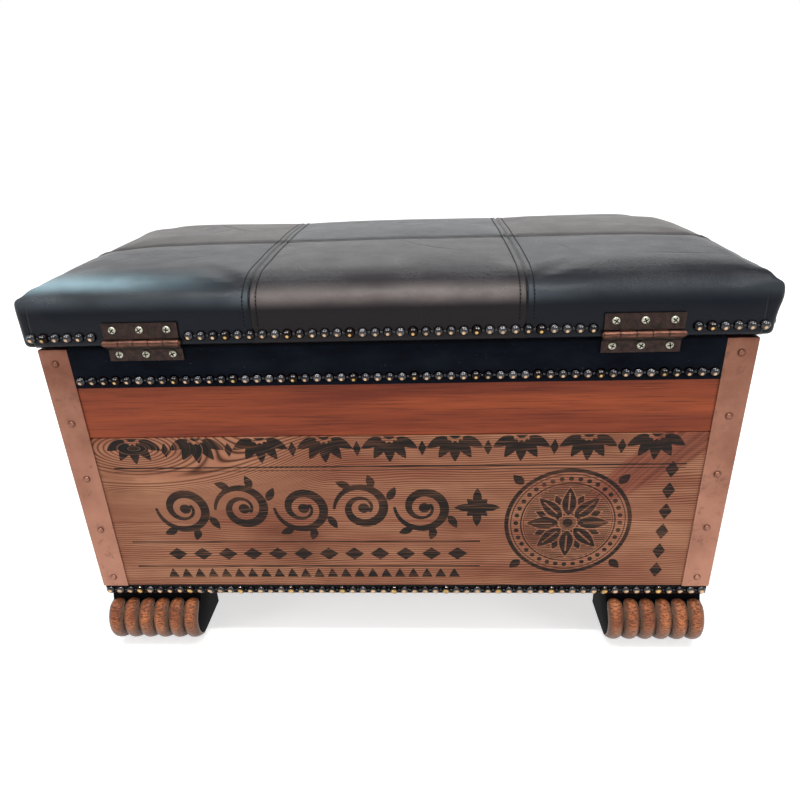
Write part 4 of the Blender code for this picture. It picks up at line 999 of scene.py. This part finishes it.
def makeStraps(material):
    height = strapHigh.z - strapLow.z
    out = strap["gap"] + strap["thick"]
    inner = out - strap["leg"]
    lip = out - strap["fold"]
    sideTurn = Matrix.Rotation(-math.pi / 2, 4, "Z")
    for corner, sx, sy, turn in (("back_right", 1, 1, 0), ("back_left", -1, 1, math.pi / 2),
                                 ("front_left", -1, -1, math.pi), ("front_right", 1, -1, -math.pi / 2)):
        ob = startCube("strap", (inner, inner, 0), (out, out, height))
        dropFaces(ob, lambda f: min(f.normal) < -0.9)
        sliceAt(ob, 0, [lip])
        sliceAt(ob, 1, [lip])
        dropFaces(ob, lambda f: f.normal.z > 0.9 and max(f.calc_center_median().xy) < lip)
        bevelEdges(ob, sharp, strap["edge"], 2)
        objectMode()
        sliceAt(ob, 2, steps(0, height, 0.0045))
        sliceAt(ob, 0, steps(inner, out - 0.003, 0.003))
        sliceAt(ob, 1, steps(inner, out - 0.003, 0.003))
        where = points(ob)
        shiftX, shiftY = sx * 3.1, sy * 5.3
        for p in where:
            side = p[0] if p[1] > out - 0.0005 else p[1]
            dip = 0.0
            for z in tackHeights:
                far = math.hypot(side - tackAcross, p[2] - z) / strap["dipReach"]
                dip += strap["dip"] * math.exp(-far ** 2 / 2)
            sway = waver(p[0] * 40 + shiftX, p[1] * 40 + shiftY, p[2] * 22) * strap["sway"]
            push = max(-strap["deepest"], sway - dip)
            if p[1] > out - 0.0005 and p[0] < out - 0.002:
                p[1] += push
            elif p[0] > out - 0.0005 and p[1] < out - 0.002:
                p[0] += push
            top = between(p[2], height - 0.012, height)
            p[2] += top * waver(p[0] * 160 + shiftX, p[1] * 160 + shiftY, 0) * 0.0004
        movePoints(ob, where)
        applyModifier(ob, "SOLIDIFY", thickness=strap["thick"], offset=-1.0)
        copies = [ob]
        tack = domeHead("tack", strap["tackRadius"], strap["tackHeight"], 12, 6)
        for z in tackHeights:
            copies.append(copyAt(tack, Matrix.Translation((tackAcross, out - 0.0002, z))))
            copies.append(copyAt(tack, Matrix.Translation((out - 0.0002, tackAcross, z)) @ sideTurn))
        drop(tack)
        ob = joinAll(copies, "copperCorner_" + corner)
        place = Matrix.Translation((sx * baseHigh.x, sy * baseHigh.y, strapLow.z))
        ob.data.transform(place @ Matrix.Rotation(turn, 4, "Z"))
        smoothShade(ob, 42)
        finishPiece(ob, material, "box", ["corner_strap_" + corner])


# black cloth: a lined inside and four strips turned over the rim
cloth = {"thick": 0.0012, "insideThick": 0.0010, "grid": 0.012, "insideGrid": 0.02, "outerDrop": 0.0403,
         "clear": 0.0004, "slack": 0.0005}


def makeCloth(material):
    wall = baseHigh.y - railLow.y
    grow = liningHigh.y - baseHigh.y
    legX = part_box("corner_strap_back_right")[0].x - cloth["clear"]
    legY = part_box("corner_strap_back_right")[0].y - cloth["clear"]
    outerHem = railHigh.z - cloth["outerDrop"]
    for side, turn, reach, face in (("Back", 0, legX, baseHigh.y), ("Front", math.pi, legX, baseHigh.y),
                                    ("Left", math.pi / 2, legY, baseHigh.x),
                                    ("Right", -math.pi / 2, legY, baseHigh.x)):
        inside = face - wall - grow
        ob = startCube("clothTurn" + side, (-reach, inside, outerHem), (reach, face + grow, liningHigh.z))
        dropFaces(ob, lambda f: abs(f.normal.x) > 0.9 or f.normal.z < -0.9)
        bevelEdges(ob, sharp, 0.0014, 3)
        objectMode()
        sliceAt(ob, 0, steps(-reach, reach, cloth["grid"]))
        sliceAt(ob, 2, steps(outerHem, liningHigh.z - 0.002, 0.008))
        where = points(ob)
        for p in where:
            if p[1] > face + grow - 0.0002:
                p[1] += 0.0002 * waver(p[0] * 20, turn, p[2] * 30)
            low = 1 - between(p[2], outerHem, outerHem + 0.006)
            p[2] += low * 0.0003 * waver(p[0] * 30, turn + 4, 0)
        movePoints(ob, where)
        applyModifier(ob, "SOLIDIFY", thickness=cloth["thick"], offset=-1.0)
        ob.data.transform(Matrix.Rotation(turn, 4, "Z"))
        smoothShade(ob, 40)
        nodes = ["box_lining"] if side == "Back" else []
        finishPiece(ob, material, "box", nodes)
    inX = baseHigh.x - wall - cloth["clear"]
    inY = railLow.y - cloth["clear"]
    floor = baseHigh.z + cloth["clear"]
    ob = startCube("clothInside", (-inX, -inY, floor), (inX, inY, liningHigh.z - 0.003))
    dropFaces(ob, lambda f: f.normal.z > 0.9)
    bevelEdges(ob, sharp, 0.003, 2)
    objectMode()
    sliceAt(ob, 0, steps(-inX, inX, cloth["insideGrid"]))
    sliceAt(ob, 1, steps(-inY, inY, cloth["insideGrid"]))
    sliceAt(ob, 2, steps(floor, liningHigh.z - 0.003, cloth["insideGrid"]))
    where = points(ob)
    for p in where:
        slack = cloth["slack"] * (1 + waver(p[0] * 9, p[1] * 9, p[2] * 7))
        for axis, edge in ((0, inX), (1, inY)):
            if abs(p[axis]) > edge - 0.001:
                p[axis] -= math.copysign(slack, p[axis])
    movePoints(ob, where)
    applyModifier(ob, "SOLIDIFY", thickness=cloth["insideThick"], offset=-1.0)
    smoothShade(ob, 40)
    finishPiece(ob, material, "box")


def makeLidLining(material):
    low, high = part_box("lid_lining")
    ob = startCube("lidLining", low, high)
    bevelEdges(ob, anyEdge, 0.0008, 2)
    objectMode()
    sliceAt(ob, 0, steps(low.x, high.x, cloth["insideGrid"]))
    sliceAt(ob, 1, steps(low.y, high.y, cloth["insideGrid"]))
    where = points(ob)
    for p in where:
        if p[2] < low.z + 0.0005:
            p[2] += 0.00035 * (1 + waver(p[0] * 12, p[1] * 12, 1))
    movePoints(ob, where)
    smoothShade(ob, 30)
    finishPiece(ob, material, "lid", ["lid_lining"])


# printed board: its outer face carries distance maps of the ornament, which the material turns to ink;
# places and sizes are in millimetres from the board's middle and foot
printing = {
    "slices": 4, "cuts": 108, "edge": 0.001,
    "fans": {"count": 9, "pitch": 68, "from": -276, "top": 197, "reach": 34, "leans": (-150, -120, -90, -60, -30)},
    "vine": {"count": 5, "pitch": 66, "from": -234, "middle": 106, "swing": 29},
    "star": {"at": 88, "tips": ((25, 4.8), (16, 3.6))},
    "row": {"count": 12, "pitch": 29, "from": -252, "middle": 45, "size": (11.0, 8.5)},
    "teeth": {"count": 22, "pitch": 15.5, "from": -262, "foot": 12, "high": 13, "half": 6.6},
    "beads": {"count": 36, "ring": 55.8, "radius": 2.7},
    "column": {"count": 6, "pitch": 26, "from": 22, "at": 288, "size": (7.0, 10.5)},
    "petals": ((8, 45.0, 7.4, 0.0), (8, 38.0, 6.6, 0.3927)),
}


class InkSheet:
    # gathers ornament as one signed distance in millimetres, less than nothing inside a shape
    def __init__(self, u, v):
        self.u, self.v = u, v
        self.ink = np.full_like(u, 50.0)

    def take(self, shape):
        self.ink = np.minimum(self.ink, shape)

    def disc(self, u, v, radius):
        self.take(np.hypot(self.u - u, self.v - v) - radius)

    def lozenge(self, u, v, a, b):
        self.take((abs(self.u - u) / a + abs(self.v - v) / b - 1) * a * b / math.hypot(a, b))

    def stroke(self, path, thickness):
        for (x0, y0), (x1, y1), t in zip(path, path[1:], thickness):
            du, dv = x1 - x0, y1 - y0
            share = np.clip(((self.u - x0) * du + (self.v - y0) * dv) / (du * du + dv * dv), 0, 1)
            self.take(np.hypot(self.u - x0 - share * du, self.v - y0 - share * dv) - t)

    def petal(self, u, v, size, width, angle, start=0.0):
        # a leaf shape from start to size along its own axis
        along = (self.u - u) * math.cos(angle) + (self.v - v) * math.sin(angle)
        side = abs(-(self.u - u) * math.sin(angle) + (self.v - v) * math.cos(angle))
        t = np.clip((along - start) / (size - start), 0, 1)
        edge = width * np.sin(np.pi * t ** 0.8) ** 0.9
        self.take(np.maximum(side - edge, np.maximum(along - size, start - along)))


def vineScroll(sheet, u, middle, swing, up):
    # the stem arches over, then winds in to a berry, with three leaves on its back
    path, thick = [], []
    for i in range(58):
        t = i / 57
        angle = math.pi - t * 3.15 * math.pi
        radius = swing * (1.08 - 0.78 * t ** 0.85)
        path.append((u + radius * math.cos(angle), middle + up * radius * math.sin(angle)))
        thick.append(1.7 + 3.9 * math.sin(math.pi * min(1, t * 1.25)) * (1 - 0.35 * t))
    sheet.stroke(path, thick)
    sheet.disc(u + 1, middle, 6.2)
    for lean, reach in ((0.35, 19), (1.15, 16), (2.0, 17)):
        root = (u + swing * 1.02 * math.cos(lean), middle + up * swing * 1.02 * math.sin(lean))
        sheet.petal(*root, reach, 4.6, up * (lean + 0.75))


def inkMap(u, v):
    # u to the right as seen from the hinge side, v up from the board's foot
    sheet = InkSheet(u, v)
    fan = printing["fans"]
    for i in range(fan["count"]):
        centre = fan["from"] + i * fan["pitch"]
        for lean in fan["leans"]:
            sheet.petal(centre, fan["top"], fan["reach"], 5.6, math.radians(lean), 9.0)
        sheet.disc(centre, fan["top"], 6.5)
        if i < fan["count"] - 1:
            sheet.lozenge(centre + fan["pitch"] / 2, fan["top"] - 17, 4.4, 9.5)
    vine = printing["vine"]
    for i in range(vine["count"]):
        vineScroll(sheet, vine["from"] + i * vine["pitch"], vine["middle"], vine["swing"], 1 if i % 2 else -1)
    star = printing["star"]
    for i in range(8):
        size, width = star["tips"][i % 2]
        sheet.petal(star["at"], vine["middle"], size, width, math.pi * i / 4, 3.5)
    sheet.disc(star["at"], vine["middle"], 5.0)
    row, column = printing["row"], printing["column"]
    for i in range(row["count"]):
        sheet.lozenge(row["from"] + i * row["pitch"], row["middle"], *row["size"])
    for i in range(column["count"]):
        sheet.lozenge(column["at"], column["from"] + i * column["pitch"], *column["size"])
    tooth = printing["teeth"]
    for i in range(tooth["count"]):
        off = abs(u - tooth["from"] - i * tooth["pitch"]) / tooth["half"]
        rise = (v - tooth["foot"]) / tooth["high"]
        sheet.take(np.maximum(off + rise - 1, -rise) * 5.8)
    spotU, spotV = -rosette["spot"][0] * 1000, (rosette["spot"][1] - crateLow.z) * 1000
    sheet.disc(spotU, spotV, 5.5)
    beads = printing["beads"]
    for i in range(beads["count"]):
        a = 2 * math.pi * i / beads["count"]
        sheet.disc(spotU + beads["ring"] * math.cos(a), spotV + beads["ring"] * math.sin(a), beads["radius"])
    for i in range(4):
        sheet.petal(spotU, spotV, 86, 5.0, math.pi * (i / 2 + 0.25), 70)
    # petals on a hatched ground: eight with a bare vein, eight smaller ones behind them
    flowers = []
    for count, size, width, start in printing["petals"]:
        flower = InkSheet(u, v)
        for i in range(count):
            flower.petal(spotU, spotV, size, width, start + 2 * math.pi * i / count, 10.0)
        flowers.append(flower.ink)
    solid, behind = flowers
    reach = np.hypot(u - spotU, v - spotV)
    turn = np.arctan2(v - spotV, u - spotU)
    lean = (turn + math.pi / 8) % (math.pi / 4) - math.pi / 8
    vein = np.maximum(abs(reach * np.sin(lean)) - 0.9, np.maximum(16 - reach, reach - 38))
    sheet.take(np.maximum(solid, -vein))
    sheet.take(np.maximum(behind, 1.8 - solid))
    ground = np.maximum(reach - 46.5, 1.3 - np.minimum(solid, behind))
    return sheet.ink, ground


def makePrintedBoard(material):
    ob = startCube("crateBoardPrinted", crateLow, crateHigh)
    bevelEdges(ob, anyEdge, printing["edge"], 2)
    objectMode()
    sliceAt(ob, 0, steps(crateLow.x, crateHigh.x, (crateHigh.x - crateLow.x) / (printing["slices"] + 1)))
    pick(ob, "FACE", lambda f: f.normal.y > 0.999)
    bpy.ops.mesh.subdivide(number_cuts=printing["cuts"])
    objectMode()
    where = points(ob)
    ink, ground = inkMap(-where[:, 0] * 1000, (where[:, 2] - crateLow.z) * 1000)
    inside = where[:, 1] < crateHigh.y - 0.0001
    ink[inside] = 50
    ground[inside] = 50
    setAttribute(ob, "ink", ink)
    setAttribute(ob, "hatch", ground)
    smoothShade(ob, 30)
    finishPiece(ob, material, "box", ["crate_board_back"])


# ribbed feet: six ribs spun round the roll, on a body cut to the roll's side view
foot = {"width": 0.108, "height": 0.0615, "rear": 0.0557, "neck": 0.0087, "rollBack": 0.0067,
        "reach": 0.0210, "halfHeight": 0.0239, "relief": 0.0066, "ribs": 6, "turns": 26, "gougeGap": 0.0027,
        "ends": ((0.98, 0.52), (1.10, 0.47)), "flank": (0.40, 0.42)}


def footBody():
    # side view drawn as one outline, then extruded across the foot's width
    outline = [(-foot["rear"], 0.0), (-foot["rear"], foot["height"]), (-foot["neck"], foot["height"])]
    middle = (-foot["rollBack"], foot["halfHeight"] + 0.001)
    for i in range(25):
        angle = math.radians(85 - i * 175 / 24)
        spot = (middle[0] + foot["reach"] * math.cos(angle), middle[1] + foot["halfHeight"] * math.sin(angle))
        outline.append((spot[0], max(0.0, spot[1])))
    half = foot["width"] / 2 - 0.0004
    bpy.ops.mesh.primitive_circle_add(vertices=len(outline), radius=1, fill_type="NGON")
    ob = bpy.context.object
    ob.name = "footBody"
    movePoints(ob, [(-half, y, z) for y, z in outline])
    editAll()
    bpy.ops.mesh.extrude_region_move(TRANSFORM_OT_translate={"value": (2 * half, 0, 0)})
    objectMode()
    tidyNormals(ob)
    bevelEdges(ob, lambda e: e.is_manifold and e.calc_face_angle(0) > 1.2, 0.0016, 2)
    objectMode()
    return ob


def bentRib(i):
    # a ring swept round the roll, then squeezed to a rounded finger tip at both ends
    centre = Vector((0, -foot["rollBack"], foot["halfHeight"] + 0.001))
    wide = foot["width"] / foot["ribs"]
    x = -foot["width"] / 2 + wide * (i + 0.5)
    clearSelection()
    bpy.ops.mesh.primitive_circle_add(vertices=20, radius=wide / 2, rotation=(math.pi / 2, 0, 0),
                                      location=(x, centre.y, centre.z + foot["halfHeight"]))
    rib = bpy.context.object
    applyPlace()
    editAll()
    bpy.ops.mesh.spin(steps=foot["turns"], angle=math.pi, center=centre, axis=(1, 0, 0))
    objectMode()
    where = points(rib)
    across = np.zeros(len(where))
    for n, p in enumerate(where):
        across[n] = (p[0] - x) / (wide / 2)
        angle = math.atan2(p[2] - centre.z, p[1] - centre.y)
        bulge = (math.hypot(p[1] - centre.y, p[2] - centre.z) - foot["halfHeight"]) / (wide / 2)
        (top, topRun), (low, lowRun) = foot["ends"]
        tip = max((angle - top) / topRun, (-low - angle) / lowRun, 0.0)
        close = math.sqrt(max(0.0, 1 - min(1, tip) ** 2))
        rise = foot["relief"] * bulge ** 1.5 * (0.2 + 0.8 * close) if bulge > 0 else 0.003 * bulge
        p[1] = centre.y + (foot["reach"] + rise) * math.cos(angle)
        p[2] = centre.z + (foot["halfHeight"] + rise * (0.45 if angle < 0 else 0.75)) * math.sin(angle)
        p[2] = max(p[2], 0.0002)
        p[0] = x + across[n] * wide / 2 * (0.50 + 0.50 * close) * (0.96 if bulge < 0 else 0.995)
    movePoints(rib, where)
    pick(rib, "EDGE", lambda e: e.is_boundary)
    bpy.ops.mesh.edge_face_add()
    objectMode()
    setAttribute(rib, "groove", np.abs(across) ** 12)
    setAttribute(rib, "flank", np.clip((np.abs(across) - foot["flank"][0]) / foot["flank"][1], 0, 1))
    setAttribute(rib, "paint", np.zeros(len(across)))
    return rib


def makeFootMaster():
    clearSelection()
    body = footBody()
    count = len(body.data.vertices)
    setAttribute(body, "groove", np.zeros(count))
    setAttribute(body, "flank", np.zeros(count))
    setAttribute(body, "paint", np.ones(count))
    master = joinAll([bentRib(i) for i in range(foot["ribs"])] + [body], "footMaster")
    tidyNormals(master)
    setAttribute(master, "foot", np.clip(1.25 - points(master)[:, 2] / 0.026, 0, 1))
    smoothShade(master, 50)
    return master


def makeFeet(material, paint):
    master = makeFootMaster()
    for corner in ("back_left", "back_right", "front_left", "front_right"):
        low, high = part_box("foot_" + corner)
        back = corner.startswith("back")
        place = Matrix.Translation(((low.x + high.x) / 2, baseHigh.y if back else -baseHigh.y, low.z))
        ob = copyAt(master, place @ Matrix.Rotation(0 if back else math.pi, 4, "Z"))
        ob.name = "ribbedFoot_" + corner
        finishPiece(ob, material, "box", ["foot_" + corner])
        ob.data.materials.append(paint)
        painted = ob.data.attributes["paint"].data
        for face in ob.data.polygons:
            face.material_index = 1 if painted[face.vertices[0]].value > 0.5 else 0
    drop(master)


def dress(node, material):
    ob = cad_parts[node]
    for slot in ob.material_slots:
        slot.link = "OBJECT"
        slot.material = material


print("soft lid")
lidSkin = makeLid()
finishPiece(lidSkin, leather(lidPad["seamX"], lidPad["seamY"]), "lid", ["leather_cover", "foam_pad"])
thread = plainFinish("sewing_thread", (4, 4, 6), (16, 17, 20), 1800, 2.0, rough=0.7, specular=0.1)
finishPiece(makeStitches(lidSkin), thread, "lid")
print("trim and hardware")
makeNailStrips(nailMetal())
makeScrews(screwZinc())
makeStraps(copperSheet())
print("cloth and wood")
clothFinish = velvetCloth("black_cloth")
makeCloth(clothFinish)
makeLidLining(clothFinish)
makePrintedBoard(crateWood("crate_wood_printed", "X", inked=True, knot=pine["knot"]))
footPaint = plainFinish("foot_paint", (3, 4, 6), (12, 13, 16), 420, stretch=0.2, depth=0.0003,
                        rough=0.6, specular=0.03)
makeFeet(carvedWood(), footPaint)
for side, along, shift in (("front", "X", 3.3), ("left", "Y", 5.1), ("right", "Y", 7.9)):
    dress("crate_board_" + side, crateWood("crate_wood_" + side, along, shift=shift))
for side, along, shift in (("back", "X", 0.4), ("front", "X", 2.2), ("left", "Y", 4.4), ("right", "Y", 6.6)):
    dress("top_rail_" + side, railWood("rail_wood_" + side, along, shift))
dress("base_board", baseWood())
dress("lid_board", plainFinish("plywood", (158, 124, 86), (186, 152, 110), 30, 4.0, rough=0.7))
rubber = plainFinish("glide_rubber", (16, 16, 17), (34, 34, 35), 700, depth=0.0002, rough=0.75)
bronze = hingeBronze()
for node in sorted(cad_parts):
    if node.startswith("glide"):
        dress(node, rubber)
    elif node.startswith("hinge") and "screw" not in node:
        dress(node, bronze)

# pale floor, soft light from above and from both sides, camera where the photograph was taken
studio = {
    "floor": (0.80, 0.80, 0.80, 1), "world": 0.32, "glow": (0.60, 0.78), "glowReach": (0.45, 1.6),
    # where each lamp stands, where it points, its size, its watts and whether reflections show it
    "lamps": {
        "panelLeft": ((0.75, 0.9, 2.3), (0, 0, 0.3), (0.26, 1.5), 4, True),
        "panelRight": ((-0.75, 0.9, 2.3), (0, 0, 0.3), (0.26, 1.5), 4, True),
        "strip": ((0, 0.78, 2.45), (0, 0.1, 0.4), (2.8, 0.10), 37, True),
        "sideLeft": ((2.6, 1.7, 1.0), (0, 0, 0.25), (1.2, 1.2), 23, False),
        "sideRight": ((-2.6, 1.7, 1.0), (0, 0, 0.25), (1.2, 1.2), 23, False),
        "backFill": ((0, -2.2, 1.9), (0, 0, 0.25), (2.4, 0.8), 14, True),
    },
}
shot = {"spot": (-0.0414, 0.7533, 0.5863), "turns": ((183.17, "Z"), (65.43, "X"), (-2.11, "Z")), "lens": 29.02}


def areaLight(name, spot, aim, size, watts, mirrored):
    lamp = bpy.data.lights.new(name, "AREA")
    lamp.shape = "RECTANGLE"
    lamp.size, lamp.size_y = size
    lamp.energy = watts
    ob = bpy.data.objects.new(name, lamp)
    bpy.context.scene.collection.objects.link(ob)
    ob.location = spot
    ob.rotation_euler = (Vector(aim) - Vector(spot)).to_track_quat("-Z", "Y").to_euler()
    ob.visible_glossy = mirrored


def seenDirectly(tree):
    # 1 for rays from the camera, mirrors and glass, 0 for the light that falls on the chest
    path = tree.nodes.new("ShaderNodeLightPath")
    total = path.outputs["Is Camera Ray"]
    for name in ("Is Glossy Ray", "Is Transmission Ray"):
        both = tree.nodes.new("ShaderNodeMath")
        both.operation = "MAXIMUM"
        tree.links.new(total, both.inputs[0])
        tree.links.new(path.outputs[name], both.inputs[1])
        total = both.outputs[0]
    return total


def floorPaper():
    # white paper that looks brighter away from the chest, without lighting it more
    f = Finish("floor_paper")
    x, y, _ = f.parts(f.coords())
    glow = f.span(f.hypot(x, y), *studio["glowReach"], *studio["glow"])
    return f.done({
        "Base Color": studio["floor"], "Roughness": 0.9, "Specular IOR Level": 0.1, "Emission Color": (1, 1, 1, 1),
        "Emission Strength": f.times(glow, seenDirectly(f.tree)),
    })


print("studio")
clearSelection()
bpy.ops.mesh.primitive_plane_add(size=24, location=(0, 0, 0))
floor = bpy.context.object
floor.name = "floor"
floor.data.materials.append(floorPaper())
for name, settings in studio["lamps"].items():
    areaLight(name, *settings)
world = bpy.context.scene.world or bpy.data.worlds.new("studio")
bpy.context.scene.world = world
world.use_nodes = True
tree = world.node_tree
background = tree.nodes["Background"]
brighter = tree.nodes.new("ShaderNodeMapRange")
tree.links.new(seenDirectly(tree), brighter.inputs["Value"])
brighter.inputs["To Min"].default_value = studio["world"]
brighter.inputs["To Max"].default_value = 1.0
tree.links.new(brighter.outputs[0], background.inputs["Strength"])
background.inputs["Color"].default_value = (1, 1, 1, 1)

cameraData = bpy.data.cameras.new("camera")
cameraData.lens = shot["lens"]
cameraData.sensor_width = 36
cameraObject = bpy.data.objects.new("camera", cameraData)
bpy.context.scene.collection.objects.link(cameraObject)
place = Matrix.Translation(shot["spot"])
for degrees, axis in shot["turns"]:
    place = place @ Matrix.Rotation(math.radians(degrees), 4, axis)
cameraObject.matrix_world = place
bpy.context.scene.camera = cameraObject
bpy.context.scene.view_settings.view_transform = "Standard"
